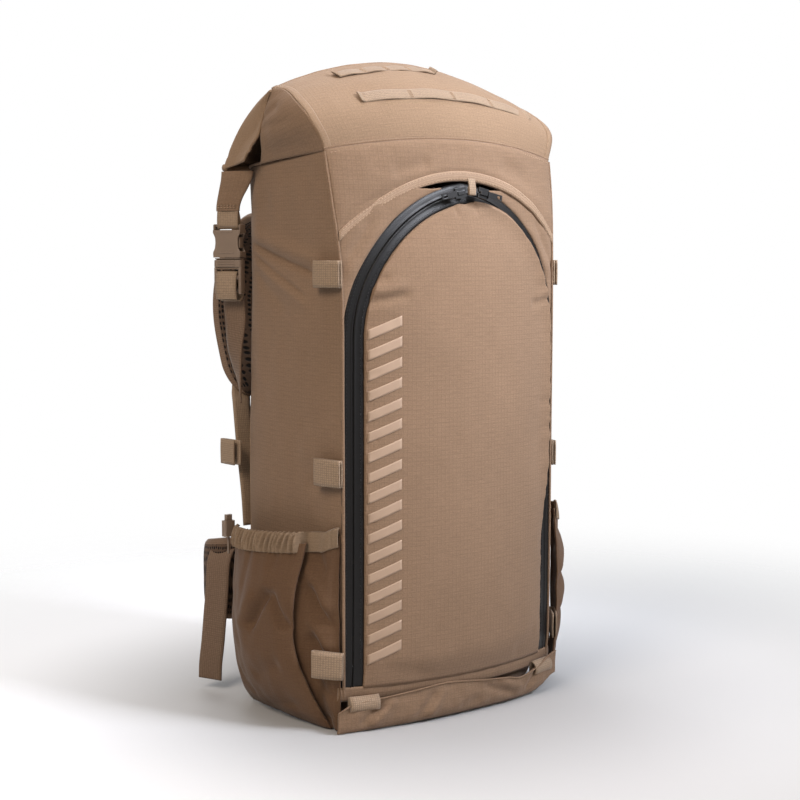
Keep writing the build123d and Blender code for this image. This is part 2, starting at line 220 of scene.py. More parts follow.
def webbingMaterial(name, lightHex, darkHex):
    # woven nylon webbing: ribs across it, and a thicker woven edge
    material, tree, shader = newMaterial(name, {
        "Roughness": 0.7, "Specular IOR Level": 0.35, "Sheen Weight": 0.12, "Sheen Roughness": 0.4})
    flat = uvScaled(tree, 1, 1)
    rib = addNode(tree, "TexWave", {"Scale": 0.314 / 0.0016, "bands_direction": "Y", "Distortion": 0.6,
                                    "Detail": 1.0}, {"Vector": flat})
    cord = addNode(tree, "TexWave", {"Scale": 0.314 / 0.0021, "bands_direction": "X"}, {"Vector": flat})
    speck = addNode(tree, "TexNoise", {"Scale": 500.0, "Detail": 3.0}, {"Vector": flat})
    both = addNode(tree, "Math", {"operation": "MULTIPLY"}, {0: rib.outputs["Fac"], 1: cord.outputs["Fac"]})
    worn = addNode(tree, "Math", {"operation": "MULTIPLY_ADD", 1: 0.7},
                   {0: both.outputs[0], 2: speck.outputs["Fac"]})
    tone = addNode(tree, "MapRange", {"From Min": 0.35, "From Max": 1.2}, {"Value": worn.outputs[0]})
    base = addNode(tree, "Mix", {"data_type": "RGBA", 6: linear(darkHex), 7: linear(lightHex)},
                   {0: tone.outputs[0]})
    tree.links.new(base.outputs[2], shader.inputs["Base Color"])
    bumped = addNode(tree, "Bump", {"Strength": 0.5, "Distance": 0.0003}, {"Height": both.outputs[0]})
    tree.links.new(bumped.outputs[0], shader.inputs["Normal"])
    return material


def meshMaterial(name, threadHex, holeShadeHex, pitch=0.0038):
    # knitted spacer mesh: round holes in a soft knit, the holes coloured near-black as painted shade inside
    # them
    material, tree, shader = newMaterial(name, {
        "Roughness": 0.9, "Specular IOR Level": 0.2, "Sheen Weight": 0.08})
    flat = uvScaled(tree, 1 / pitch, 0.8 / pitch)
    cells = addNode(tree, "TexVoronoi", {"Scale": 1.0, "Randomness": 0.22}, {"Vector": flat})
    knit = addNode(tree, "TexNoise", {"Scale": 900.0}, {"Vector": uvScaled(tree, 1, 1)})
    hole = addNode(tree, "MapRange", {"From Min": 0.26, "From Max": 0.40},
                   {"Value": cells.outputs["Distance"]})
    base = addNode(tree, "Mix", {"data_type": "RGBA", 6: linear(holeShadeHex), 7: linear(threadHex)},
                   {0: hole.outputs[0]})
    tone = addNode(tree, "MapRange", {"To Min": 0.8, "To Max": 1.2}, {"Value": knit.outputs["Fac"]})
    tinted = addNode(tree, "VectorMath", {"operation": "SCALE"},
                     {0: base.outputs[2], "Scale": tone.outputs[0]})
    tree.links.new(tinted.outputs[0], shader.inputs["Base Color"])
    bumped = addNode(tree, "Bump", {"Strength": 0.8, "Distance": 0.0009}, {"Height": hole.outputs[0]})
    tree.links.new(bumped.outputs[0], shader.inputs["Normal"])
    return material


def solidMaterial(name, hexText, roughness, grain, depth, metallic=0.0, level=0.5):
    # moulded or cast finish: one colour with slight clouding and a fine moulded grain
    material, tree, shader = newMaterial(name, {
        "Roughness": roughness, "Metallic": metallic, "Specular IOR Level": level})
    place = addNode(tree, "TexCoord").outputs["Object"]
    cloud = addNode(tree, "TexNoise", {"Scale": 60.0, "Detail": 3.0}, {"Vector": place})
    fine = addNode(tree, "TexNoise", {"Scale": grain, "Detail": 2.0}, {"Vector": place})
    tone = addNode(tree, "MapRange", {"To Min": 0.92, "To Max": 1.08}, {"Value": cloud.outputs["Fac"]})
    tinted = addNode(tree, "VectorMath", {"operation": "SCALE", 0: linear(hexText)[:3]},
                     {"Scale": tone.outputs[0]})
    tree.links.new(tinted.outputs[0], shader.inputs["Base Color"])
    rough = addNode(tree, "MapRange", {"To Min": roughness - 0.07, "To Max": roughness + 0.07},
                    {"Value": fine.outputs["Fac"]})
    tree.links.new(rough.outputs[0], shader.inputs["Roughness"])
    bumped = addNode(tree, "Bump", {"Strength": 0.35, "Distance": depth}, {"Height": fine.outputs["Fac"]})
    tree.links.new(bumped.outputs[0], shader.inputs["Normal"])
    return material


packNylon = clothMaterial("coatedNylonBrown", "#8d7159", "#7d644e")
topNylon = clothMaterial("coatedNylonTan", "#977c62", "#8a7058", gridShow=0.04)
# the pockets' nylon is darker than the body's: partly a darker cloth, partly painted shade for pockets that
# face slightly down
pocketNylonDarkAndShaded = clothMaterial("coatedNylonDarkAndShaded", "#6a4e36", "#583f2b", gridShow=0.04)
liningNylon = clothMaterial("thinLiningKhaki", "#8f7860", "#7a6550", gridShow=0.0, relief=0.3)
webbingTan = webbingMaterial("wovenWebbingTan", "#a68c73", "#84705b")
webbingBrown = webbingMaterial("wovenWebbingBrown", "#866c56", "#644f3e")
bindingTan = webbingMaterial("grosgrainBinding", "#a88c72", "#8c725b")
stitchThread = solidMaterial("polyesterThread", "#a98d73", 0.7, 900, 0.0001)
meshBrown = meshMaterial("spacerMeshBrown", "#5c493b", "#120e0b")
zipLaminate = solidMaterial("laminatedZipTape", "#0e0b09", 0.45, 1100, 0.0002, level=0.35)
zipNylon = solidMaterial("nylonCoilBlack", "#070606", 0.45, 900, 0.0001)
sliderPaint = solidMaterial("castZincBlack", "#100e0d", 0.38, 1500, 0.00005, level=0.6)
acetalBrown = solidMaterial("mouldedAcetalBrown", "#837060", 0.42, 1300, 0.00012)
sheetBlack = solidMaterial("polyethyleneSheet", "#1a1a1a", 0.5, 300, 0.0002)
stayAlloy = solidMaterial("aluminiumBar", "#b4b6ba", 0.35, 1500, 0.00005, metallic=1.0)
printTan = solidMaterial("screenPrintTan", "#a88d76", 0.65, 900, 0.0001)
print("materials are made")

# small shape helpers, in millimetres


def mix(a, b, t):
    return a + (b - a) * t


def soft(t):
    t = max(0.0, min(1.0, t))
    return t * t * (3 - 2 * t)


def through(stops, t):
    # a smooth line through stops of (t, values)
    t = max(stops[0][0], min(stops[-1][0], t))
    i = 0
    while i < len(stops) - 2 and t > stops[i + 1][0]:
        i += 1
    (t0, p0), (t1, p1) = stops[i], stops[i + 1]
    before, after = stops[max(i - 1, 0)], stops[min(i + 2, len(stops) - 1)]
    k = (t - t0) / (t1 - t0)
    values = []
    for j in range(len(p0)):
        m0 = (p1[j] - before[1][j]) / (t1 - before[0]) * (t1 - t0)
        m1 = (after[1][j] - p0[j]) / (after[0] - t0) * (t1 - t0)
        values.append(p0[j] * (2 * k**3 - 3 * k * k + 1) + m0 * (k**3 - 2 * k * k + k)
                      + p1[j] * (3 * k * k - 2 * k**3) + m1 * (k**3 - k * k))
    return values


def wrinkle(a, b, size, seed=0.0):
    return noise.noise(Vector((a / size, b / size, seed)))


def fold(a, b, start, end, width):
    # 1 along a line between two points, falling to 0 within about its width
    sx, sy = start
    ex, ey = end
    dx, dy = ex - sx, ey - sy
    t = ((a - sx) * dx + (b - sy) * dy) / (dx * dx + dy * dy)
    k = max(0.0, min(1.0, t))
    d = math.hypot(a - sx - dx * k, b - sy - dy * k)
    return math.exp(-(d / width) ** 2) * soft(4 * k + 0.15) * soft(4 * (1 - k) + 0.15)


def faceOut(bm, direction):
    total = Vector()
    for face in bm.faces:
        total += face.normal * face.calc_area()
    if total.dot(Vector(direction)) < 0:
        bmesh.ops.reverse_faces(bm, faces=bm.faces)


def toSide(bm, side):
    # a piece is made on the left; this moves it over when it belongs on the right
    if side > 0:
        bmesh.ops.scale(bm, vec=(-1, 1, 1), verts=bm.verts)
    bm.normal_update()


def keepPiece(bm, name, material, body, nodes=(), modifiers=()):
    data = bpy.data.meshes.new(name)
    for face in bm.faces:
        face.smooth = True
    bm.to_mesh(data)
    bm.free()
    piece = bpy.data.objects.new(name, data)
    bpy.context.collection.objects.link(piece)
    materials = material if isinstance(material, (list, tuple)) else [material]
    for each in materials:
        data.materials.append(each)
    for kind, sets in modifiers:
        added = piece.modifiers.new(kind.lower(), kind)
        for key, value in sets.items():
            setattr(added, key, value)
    if nodes:
        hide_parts(*nodes)
    if body:
        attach(piece, body)
    return piece


def wall(thickness, offset=-1.0):
    return ("SOLIDIFY", {"thickness": thickness * mm, "offset": offset, "use_even_offset": False})


def clothGrid(bm, cols, rows, place, flat, matIndex=0):
    # a grid of cloth: place(u, w) gives each point and flat(u, w) its place on the cut cloth, both in mm
    uvLayer = bm.loops.layers.uv.verify()
    made = bmesh.ops.create_grid(bm, x_segments=cols, y_segments=rows, size=1.0)["verts"]
    cut = {}
    for v in made:
        u, w = (v.co.x + 1) / 2, (v.co.y + 1) / 2
        cut[v] = flat(u, w)
        v.co = Vector(place(u, w)) * mm
    for face in {f for v in made for f in v.link_faces}:
        face.material_index = matIndex
        for loop in face.loops:
            loop[uvLayer].uv = (cut[loop.vert][0] * mm, cut[loop.vert][1] * mm)
    bm.normal_update()
    return made


def measure(place, steps=24):
    # the cut size of a sheet: its longest row, its longest column and its area, in metres
    pts = [[Vector(place(i / steps, j / steps)) * mm for i in range(steps + 1)] for j in range(steps + 1)]
    width = max(sum((row[i + 1] - row[i]).length for i in range(steps)) for row in pts)
    length = max(sum((pts[j + 1][i] - pts[j][i]).length for j in range(steps)) for i in range(steps + 1))
    area = 0.0
    for j in range(steps):
        for i in range(steps):
            a, b, c, d = pts[j][i], pts[j][i + 1], pts[j + 1][i + 1], pts[j + 1][i]
            area += ((b - a).cross(c - a).length + (c - a).cross(d - a).length) / 2
    return width, length, area


def sewnSheet(place, steps=24):
    width, length, area = measure(place, steps)


# the bag's body, in millimetres

bodyStops = [  # height: half width at the front seams, their y, the front's bulge, half width at the back
    (0, (124, -84, 23, 119)), (30, (127, -86.5, 24.5, 121)), (60, (129, -89, 26, 123)),
    (300, (129.8, -90, 26, 124)), (430, (131, -89, 26, 125)), (500, (136.5, -81, 25, 126)),
    (562, (140, -70, 24, 127))]
archSet = {"centreX": 16.2, "centreZ": 366.4, "outer": 146.0, "coil": 137.0, "inner": 127.0, "foot": 41.0}
backY = 85.0


def bodyAt(z):
    return through(bodyStops, z)


def frontSkin(x, z, out=0.0):
    half, y, bulge, _ = bodyAt(z)
    s = max(-1.05, min(1.05, x / half))
    slope = 2 * bulge * s / half
    length = math.hypot(1, slope)
    return (x + out * slope / length, y - bulge * (1 - s * s) - out / length, z)


def hemLine(x):
    return 517 - 68 * (x / 150) ** 2


def seamLine(x):
    return 554 - 20 * (x / 170) ** 2


def archWidth(radius, z):
    # half width of the zip's arch at one height
    if z <= archSet["centreZ"]:
        return radius - archSet["centreX"]
    rise = z - archSet["centreZ"]
    return math.sqrt(max(0.0, radius * radius - rise * rise)) - archSet["centreX"]


def archDepth(x, z, radius):
    # how far a point lies inside the arch of that radius
    if z <= archSet["centreZ"]:
        return radius - archSet["centreX"] - abs(x)
    return radius - math.hypot(abs(x) + archSet["centreX"], z - archSet["centreZ"])


def archPath(radius, k):
    # a point along one arch, k from 0 at its left foot over the peak to 1 at its right foot
    side = -1 if k < 0.5 else 1
    t = 2 * k if k < 0.5 else 2 * (1 - k)
    foot, cx, cz = archSet["foot"], archSet["centreX"], archSet["centreZ"]
    top = math.acos(cx / radius)
    leg = (cz - foot) / (cz - foot + archSet["coil"] * math.acos(cx / archSet["coil"]))
    if t <= leg:
        return side * (radius - cx), mix(foot, cz, t / leg)
    turn = top * (t - leg) / (1 - leg)
    return side * (radius * math.cos(turn) - cx), cz + radius * math.sin(turn)


doorSet = {"puff": 5.2, "edge": 1.6, "lean": 10.0, "cols": 150, "rows": 190}


def doorOut(x, z):
    d = archDepth(x, z, archSet["inner"] + 0.6)
    low = soft((z - 38) / 34)
    out = -2.2 + (2.2 + doorSet["edge"]) * soft(d / 1.6)
    out += (doorSet["puff"] * (1 - math.exp(-max(d, 0) / 20)) + 0.8 * wrinkle(x, z, 70, 3.1)) * low
    near = math.exp(-max(d, 0) / 9)
    out += near * 0.9 * wrinkle(x * 0.4, z, 6.5, 7.7) * low
    out += 0.35 * wrinkle(x, z * 0.7, 22, 1.3) * low
    for start, end, width, deep in (
            ((-118, 398), (-66, 409), 4.5, -2.6), ((-116, 407), (-70, 418), 6, 1.5),
            ((-113, 420), (-86, 424), 3.5, -1.5), ((82, 397), (116, 399), 3.5, -2.0),
            ((90, 403), (116, 406), 4.5, 1.1), ((-17, 503), (-10, 478), 2.6, -0.9),
            ((8, 500), (14, 480), 3.0, -0.6), ((-100, 60), (-40, 48), 7, -1.3),
            ((-112, 378), (-80, 386), 7, -0.8), ((100, 70), (60, 52), 8, -1.0),
            ((-60, 55), (-20, 70), 7, 0.7), ((-115, 330), (-96, 338), 4, -0.7),
            ((-115, 270), (-98, 276), 5, -0.5), ((96, 300), (115, 296), 5, -0.5)):
        out += deep * fold(x, z, start, end, width)
    return out


def doorPlace(u, w):
    x, z = archPath(archSet["inner"] + 0.6, 0.5 * (1 - (1 - w) ** 1.35))
    s = 2 * u - 1
    s = math.copysign(1 - (1 - abs(s)) ** 1.7, s)
    x, y, z = frontSkin(-x * s, z, doorOut(-x * s, z))
    # the fuller top and right edges lean out over the tape
    over = doorSet["lean"] * soft((x + 30) / 90) * soft((z - 150) / 120) * soft(s * math.copysign(1, x))
    near = math.exp(-archDepth(x, z, archSet["inner"] + 0.6) / 5) if over else 0.0
    away = Vector((x + math.copysign(archSet["centreX"], x), max(0.0, z - archSet["centreZ"])))
    if over and away.length:
        away.normalize()
        x, y, z = x + over * near * away.x, y - over * near * 0.35, z + over * near * away.y
    return (x, y, z)


def makeDoor():
    bm = bmesh.new()
    clothGrid(bm, doorSet["cols"], doorSet["rows"], doorPlace, lambda u, w: doorPlace(u, w)[::2])
    bmesh.ops.remove_doubles(bm, verts=bm.verts, dist=0.00004)
    bmesh.ops.recalc_face_normals(bm, faces=bm.faces)
    faceOut(bm, (0, -1, 0))
    piece = keepPiece(bm, "frontDoor", packNylon, "door", ["front_door"], [wall(1.4)])
    sewnSheet(doorPlace)


graphicSet = {"bars": 17, "low": 70, "high": 392, "half": 15.5, "thick": 9.5, "slant": 0.42, "lift": 0.5}


def makeGraphic():
    # a plain column of slanted bars, printed in a lighter tone
    bm = bmesh.new()
    step = (graphicSet["high"] - graphicSet["low"]) / graphicSet["bars"]
    for i in range(graphicSet["bars"]):
        z0 = graphicSet["low"] + i * step

        def place(u, w):
            across = (2 * u - 1) * graphicSet["half"]
            z = z0 + w * graphicSet["thick"] + across * graphicSet["slant"]
            x = -93 + across
            return frontSkin(x, z, doorOut(x, z) + graphicSet["lift"])
        clothGrid(bm, 12, 5, place, lambda u, w: place(u, w)[::2])
    faceOut(bm, (0, -1, 0))
    keepPiece(bm, "doorGraphic", printTan, "door", [], [wall(0.4)])


def borderPlace(u, w):
    z = mix(352, 506, w)
    half = bodyAt(z)[0]
    inner = min(archWidth(archSet["outer"] - 1.0, z), half - 1)
    x = mix(half - 0.2, inner, u)
    d = x - inner
    outer = half - x
    puff = 2.2 * (1 - math.exp(-d / 7)) * (1 - math.exp(-outer / 5))
    out = puff - 1.2 * math.exp(-(d / 1.5) ** 2)
    out += 1.2 * fold(x, z, (128, 420), (84, 478), 5) - 1.6 * fold(x, z, (134, 428), (98, 480), 4.5)
    out += 0.9 * wrinkle(x, z, 16, 5.2) * soft(d / 10)
    return frontSkin(-x, z, out)


def makeBorder():
    bm = bmesh.new()
    clothGrid(bm, 26, 90, borderPlace, lambda u, w: borderPlace(u, w)[::2])
    bm.normal_update()
    faceOut(bm, (0, -1, 0))
    mirrorAll(bm)
    piece = keepPiece(bm, "frontCorners", packNylon, "pack", ["front_border"], [wall(1.4)])
    width, length, area = measure(borderPlace)  # both corners nest head to tail in one cut


def mirrorAll(bm):
    # adds the right-hand copy of everything, with its faces turned the right way out
    made = bmesh.ops.duplicate(bm, geom=bm.verts[:] + bm.edges[:] + bm.faces[:])["geom"]
    verts = [g for g in made if isinstance(g, bmesh.types.BMVert)]
    bmesh.ops.scale(bm, vec=(-1, 1, 1), verts=verts)
    bmesh.ops.reverse_faces(bm, faces=[g for g in made if isinstance(g, bmesh.types.BMFace)])


def hoodPlace(u, w):
    s = 2 * u - 1
    x0 = s * 139
    z = mix(hemLine(x0), seamLine(x0) - 0.5, w)
    x = s * (bodyAt(z)[0] - 0.2)
    edge = (1 - math.exp(-(1 - w) / 0.06)) * (1 - math.exp(-(1 - abs(s)) / 0.03))
    out = 1.0 + 2.6 * edge * soft(w / 0.3)
    out += (-2.0 * fold(x, z, (-80, 520), (-35, 531), 7) - 1.4 * fold(x, z, (50, 533), (95, 520), 8)
            + 1.0 * wrinkle(x, z, 34, 9.4) + 0.4 * wrinkle(x, z, 11, 2.2)) * edge
    out += 3.2 * soft((x - 10) / 60) * soft((130 - x) / 40) * (1 - soft(w / 0.45))
    return frontSkin(x, z, out)


def makeHood():
    bm = bmesh.new()
    clothGrid(bm, 120, 36, hoodPlace, lambda u, w: hoodPlace(u, w)[::2])
    faceOut(bm, (0, -1, 0))
    piece = keepPiece(bm, "hoodPanel", packNylon, "pack", ["front_hood"], [wall(1.4)])
    sewnSheet(hoodPlace)


bindingSet = {"up": 6.5, "down": 3.5, "crown": 1.1}


def bindingPlace(u, w):
    s = (2 * u - 1) * 0.995
    x0 = s * 139
    base = Vector(hoodPlace((s + 1) / 2, 0))
    rise = mix(-bindingSet["down"], bindingSet["up"], w)
    out = 0.7 + bindingSet["crown"] * math.sin(math.pi * w) ** 0.5
    if w == 0:
        out = -0.8
    half = bodyAt(base.z)[0]
    slope = 2 * bodyAt(base.z)[2] * (x0 / half) / half
    length = math.hypot(1, slope)
    return (base.x + out * slope / length, base.y - out / length, base.z + rise)


def makeBinding():
    bm = bmesh.new()
    clothGrid(bm, 120, 10, bindingPlace, lambda u, w: (10 * w, 300 * u))
    faceOut(bm, (0, -1, 0))
    keepPiece(bm, "hoodBinding", bindingTan, "pack", ["hood_binding"], [wall(1.0)])


# cross section of the zip tape from its outer edge to its inner edge: radius, height over the front skin
tapeStops = [(147.0, -1.6), (146.2, -0.2), (144.8, 0.4), (142, 0.5), (139.6, 0.3), (138.2, 0.7), (137.3, 0.3),
             (137.0, -1.2), (136.7, 0.3), (135.8, 0.7), (134.4, 0.3), (131.5, 0.4), (129.0, 0.5),
             (127.4, 0.0), (126.4, -1.6)]


def makeZip():
    # the tape is sewn to the corners outside the coil and to the door inside it
    parts = (("zipTapeOuter", tapeStops[:7], "pack", "zip_tape_frame"),
             ("zipTapeInner", tapeStops[8:], "door", "zip_tape_door"))
    for name, stops, body, node in parts:
        rows = 260

        def place(u, w):
            k = u * (len(stops) - 1)
            i = min(int(k), len(stops) - 2)
            radius = mix(stops[i][0], stops[i + 1][0], k - i)
            out = mix(stops[i][1], stops[i + 1][1], k - i)
            x, z = archPath(radius, w)
            if body == "door":
                leg = 1 - soft((z - 420) / 60)
                out += leg * 0.5 * wrinkle(radius * 0.6 + z, 0, 3.4, 6.0) * soft((133.5 - radius) / 3)
            return frontSkin(x, z, out - 0.2)
        bm = bmesh.new()
        clothGrid(bm, (len(stops) - 1) * 2, rows, place, lambda u, w: (18 * u, 1080 * w))
        faceOut(bm, (0, -1, 0))
        keepPiece(bm, name, zipLaminate, body, [node], [wall(1.0)])
    for name, radius, body, node in (("zipCoilFrame", 137.75, "pack", "zip_coil_frame"),
                                     ("zipCoilDoor", 136.25, "door", "zip_coil_door")):
        def bead(u, w):
            turn = math.pi * u
            x, z = archPath(radius + 0.65 * math.cos(turn), w)
            tooth = 0.12 * math.sin(w * 1080 / 1.6 * math.pi)
            return frontSkin(x, z, -0.7 + (0.75 + tooth) * math.sin(turn))
        bm = bmesh.new()
        clothGrid(bm, 6, 700, bead, lambda u, w: (2 * u, 1080 * w))
        faceOut(bm, (0, -1, 0))
        keepPiece(bm, name, zipNylon, body, [node], [wall(0.8)])


def tube(bm, path, radius, rows, cols=8):
    # a closed tube along path(w), which returns a point and its frame is worked out from the line
    def frameAt(w):
        a, b = Vector(path(max(0.0, w - 0.002))), Vector(path(min(1.0, w + 0.002)))
        way = (b - a).normalized()
        side = way.cross(Vector((0.31, 0.77, 0.55))).normalized()
        return Vector(path(w)), side, way.cross(side)
    frames = {}

    def place(u, w):
        key = round(w, 6)
        if key not in frames:
            frames[key] = frameAt(w)
        at, side, up = frames[key]
        turn = 2 * math.pi * u
        r = radius(w) if callable(radius) else radius
        return at + (side * math.cos(turn) + up * math.sin(turn)) * r
    made = clothGrid(bm, cols, rows, place, lambda u, w: (u * 6, w * 400))
    bmesh.ops.remove_doubles(bm, verts=made, dist=0.00001)


def makeWelts():
    # raised seams at the front corners and round the top of the front
    bm = bmesh.new()

    def corner(w):
        z = mix(34, 538, w)
        half, y, _, _ = bodyAt(z)
        return (-half - 0.3, y - 0.6, z)
    tube(bm, corner, 1.5, 120)
    mirrorAll(bm)

    def across(w):
        s = 2 * w - 1
        x0 = s * 139
        z = seamLine(x0)
        p = frontSkin(s * bodyAt(z)[0], z, 0.2)
        return (p[0], p[1], z)
    tube(bm, across, 1.3, 120)
    bmesh.ops.recalc_face_normals(bm, faces=bm.faces)
    keepPiece(bm, "frontWelts", packNylon, "pack")


sideSet = {"crown": 6.0, "cols": 80, "rows": 170}


def cornerPull(z):
    # how far the soft back corner draws in, more towards the top
    return mix(7.0, 17.0, soft((z - 240) / 220))


def sidePlace(u, w):
    # u from the front seam to the back seam, w upward
    top = mix(540.5, 529.5, u)
    z = mix(32, top, w)
    half, y0, _, backHalf = bodyAt(z)
    y = mix(y0, backY - 0.5, u)
    edge = (1 - math.exp(-u / 0.05)) * (1 - math.exp(-(1 - u) / 0.06))
    topEdge = 1 - math.exp(-(1 - w) / 0.02)
    full = 0.45 + 0.55 * soft((540 - z) / 120)
    x = mix(half, backHalf, u) + sideSet["crown"] * math.sin(math.pi * u) ** 0.8 * full
    x -= cornerPull(z) * (1 - math.sqrt(max(0.0, 1 - max(0.0, (u - 0.78) / 0.22) ** 2)))
    near = math.exp(-u / 0.04) + math.exp(-(1 - u) / 0.05)
    x += near * 0.8 * wrinkle(y * 0.3, z, 9, 4.4)
    x += (1.5 * wrinkle(y, z, 75, 8.8) + 0.7 * wrinkle(y, z * 0.6, 26, 2.9)) * edge * topEdge
    for start, end, width, deep in (
            ((74, 458), (-62, 423), 2.8, -4.6), ((70, 468), (-70, 436), 6.5, 3.4),
            ((66, 447), (-44, 402), 2.6, -3.4), ((60, 440), (-50, 394), 8, 2.2),
            ((60, 430), (-10, 385), 8, -1.4),
            ((80, 480), (20, 500), 8, -1.2), ((-80, 300), (-20, 280), 9, -1.0),
            ((80, 330), (30, 300), 10, -1.0), ((-84, 238), (-30, 226), 6, -1.3),
            ((-84, 250), (-20, 262), 8, 0.8), ((-60, 525), (10, 516), 7, -0.9)):
        x += deep * fold(y, z, start, end, width) * edge
    x -= 1.3 * math.exp(-((1 - w) * (top - 32) / 2.0) ** 2)
    return (-x, y, z)


def makeSides():
    for name, side in (("Left", -1), ("Right", 1)):
        bm = bmesh.new()
        clothGrid(bm, sideSet["cols"], sideSet["rows"], sidePlace, lambda u, w: sidePlace(u, w)[1:])
        toSide(bm, side)
        faceOut(bm, (side, 0, 0))
        node = "side_panel_" + name.lower()
        piece = keepPiece(bm, "sidePanel" + name, packNylon, "pack", [node], [wall(1.6)])
        sewnSheet(sidePlace)


def topLine(share):
    # front seam, middle and ridge of the sloped top at one share of its half width, as (y, z)
    s2 = share * share
    front = Vector((-91 + 16 * s2, 554 - 16 * s2))
    middle = Vector((-66 + 18 * s2, 603 - 20 * s2))
    ridge = Vector((-3 + 7 * s2, 633.5 - 33 * s2))
    return front, middle, ridge


def arcThrough(a, b, c, t):
    # a smooth curve through three points
    control = (b - (a + c) * 0.25) * 2
    return a * (1 - t) ** 2 + control * 2 * t * (1 - t) + c * t * t


def topPlace(u, w):
    s = 2 * u - 1
    y, z = arcThrough(*topLine(s), w)
    x = s * (mix(138.0, 143.0, soft(w / 0.3)) + 6.5 * math.sin(math.pi * min(1.0, w / 0.8)) ** 1.2)
    y -= 5.0 * math.sin(math.pi * min(1.0, w / 0.55)) * abs(s) ** 3
    up = soft(w / 0.05)
    z += (0.9 * wrinkle(x, y, 60, 6.1) + 0.5 * wrinkle(x, y * 1.5, 22, 3.3)) * up
    z += (-1.3 * fold(x, y, (-120, -66), (-70, -58), 9) - 1.0 * fold(x, y, (118, -60), (70, -40), 8)
          + 0.8 * fold(x, y, (-60, -38), (30, -30), 9)) * up
    return (x, y, z)


def makeTop():
    bm = bmesh.new()
    clothGrid(bm, 110, 46, topPlace, lambda u, w: (292 * u, 112 * w))
    faceOut(bm, (0, -0.6, 0.8))
    piece = keepPiece(bm, "topPanel", topNylon, "pack", ["top_panel"], [wall(1.6)])
    sewnSheet(topPlace)
    # a bound edge down each side of the top, with its seam outside it
    bm = bmesh.new()

    def edgeBand(u, w):
        x, y, z = topPlace(0.0, w)
        x2, y2, z2 = topPlace(0.024, w)
        k = u
        lift = 0.9 * math.sin(math.pi * k) ** 0.5
        return (mix(x - 0.6, x2, k), mix(y, y2, k) - lift * 0.5, mix(z, z2, k) + lift * 0.8)
    clothGrid(bm, 6, 60, edgeBand, lambda u, w: (7 * u, 112 * w))
    faceOut(bm, (0, -0.6, 0.8))
    mirrorAll(bm)
    keepPiece(bm, "topEdgeBands", topNylon, "pack", [], [wall(0.9)])


gussetSet = {
    "puff": 9.0,
    "fold": [(0.0, (52, 531)), (0.35, (33, 548)), (0.65, (27, 566)), (0.85, (15, 583)), (1.0, (0, 598))],
}


def gussetPlace(u, w):
    # u from the top panel's edge back to the fold, w from the side seam up
    frontX, frontY, frontZ = topPlace(0.0, w * 0.95)
    backPoint = through(gussetSet["fold"], w)
    y, z = mix(frontY, backPoint[0], u), mix(frontZ, backPoint[1], u)
    base = mix(-frontX + 0.3, mix(133.5, 141.5, soft(w / 0.5)), u)
    rise = math.sin(math.pi * min(1.0, u * 0.96 + 0.02)) ** 0.7 * math.sin(math.pi * (0.04 + 0.80 * w)) ** 0.6
    x = base + gussetSet["puff"] * rise * (1 - 0.35 * w)
    x -= 7.0 * soft((u - 0.86) / 0.14)
    x += (-1.6 * fold(y, z, (-45, 568), (20, 563), 4) - 1.8 * fold(y, z, (-20, 584), (22, 570), 4)
          - 1.2 * fold(y, z, (-48, 548), (25, 541), 5) + 1.0 * wrinkle(y, z, 16, 3.9)) * rise
    return (-x, y, z)


def makeGussets():
    bm = bmesh.new()
    clothGrid(bm, 40, 40, gussetPlace, lambda u, w: (100 * u, 75 * w))
    bm.normal_update()
    faceOut(bm, (-1, 0, 0))
    mirrorAll(bm)
    piece = keepPiece(bm, "topGussets", packNylon, "pack", ["top_gussets"], [wall(1.4)])
    width, length, area = measure(gussetPlace)
    # the seam under the gusset, rolled over and stitched
    bm = bmesh.new()

    def seam(w):
        y = mix(-66, 84, w)
        z = mix(540.0, 529.5, w)
        x = sidePlace(mix(0.06, 1.0, w), 1.0)[0]
        return (x - 1.0, y, z + 0.6)
    tube(bm, seam, 1.5, 50)
    mirrorAll(bm)
    bmesh.ops.recalc_face_normals(bm, faces=bm.faces)
    keepPiece(bm, "sideTopSeams", packNylon, "pack")


def flapPlace(u, w):
    # u across, w from under the ridge to the hem; past each end the cloth turns in towards the bag
    s = (2 * u - 1) * 1.24
    flat = max(-1.0, min(1.0, s))
    s2 = flat * flat
    a, b, c = (Vector(p) for p in ((-6 + 7 * s2, 633.2 - 34 * s2), (62 - 11 * s2, 595 - 24 * s2),
                                   (102 - 14 * s2, 530 - 2 * s2)))
    y, z = arcThrough(a, b, c, w)
    x = 146 * flat
    over = abs(s) - 1.0
    if over > 0:
        turn = over / 0.24
        depth = mix(4, 47, soft(w)) + 9 * math.sin(math.pi * w)
        lean = math.radians(mix(222, 172, soft(w)))
        y += depth * math.cos(lean) * turn
        z += depth * math.sin(lean) * turn
        x += math.copysign(2.5 * math.sin(math.pi * min(1, turn)) ** 0.8 - 6.0 * turn * soft(w), s)
        x += math.copysign(1.2 * wrinkle(y, z, 18, 3.3) * turn, s)
    z += 1.6 * wrinkle(x, y, 70, 1.9) * soft(w / 0.15) + 0.5 * wrinkle(x, y, 24, 5.5)
    z -= 1.5 * math.exp(-((w - 0.86) / 0.025) ** 2)
    return (x, y, z)


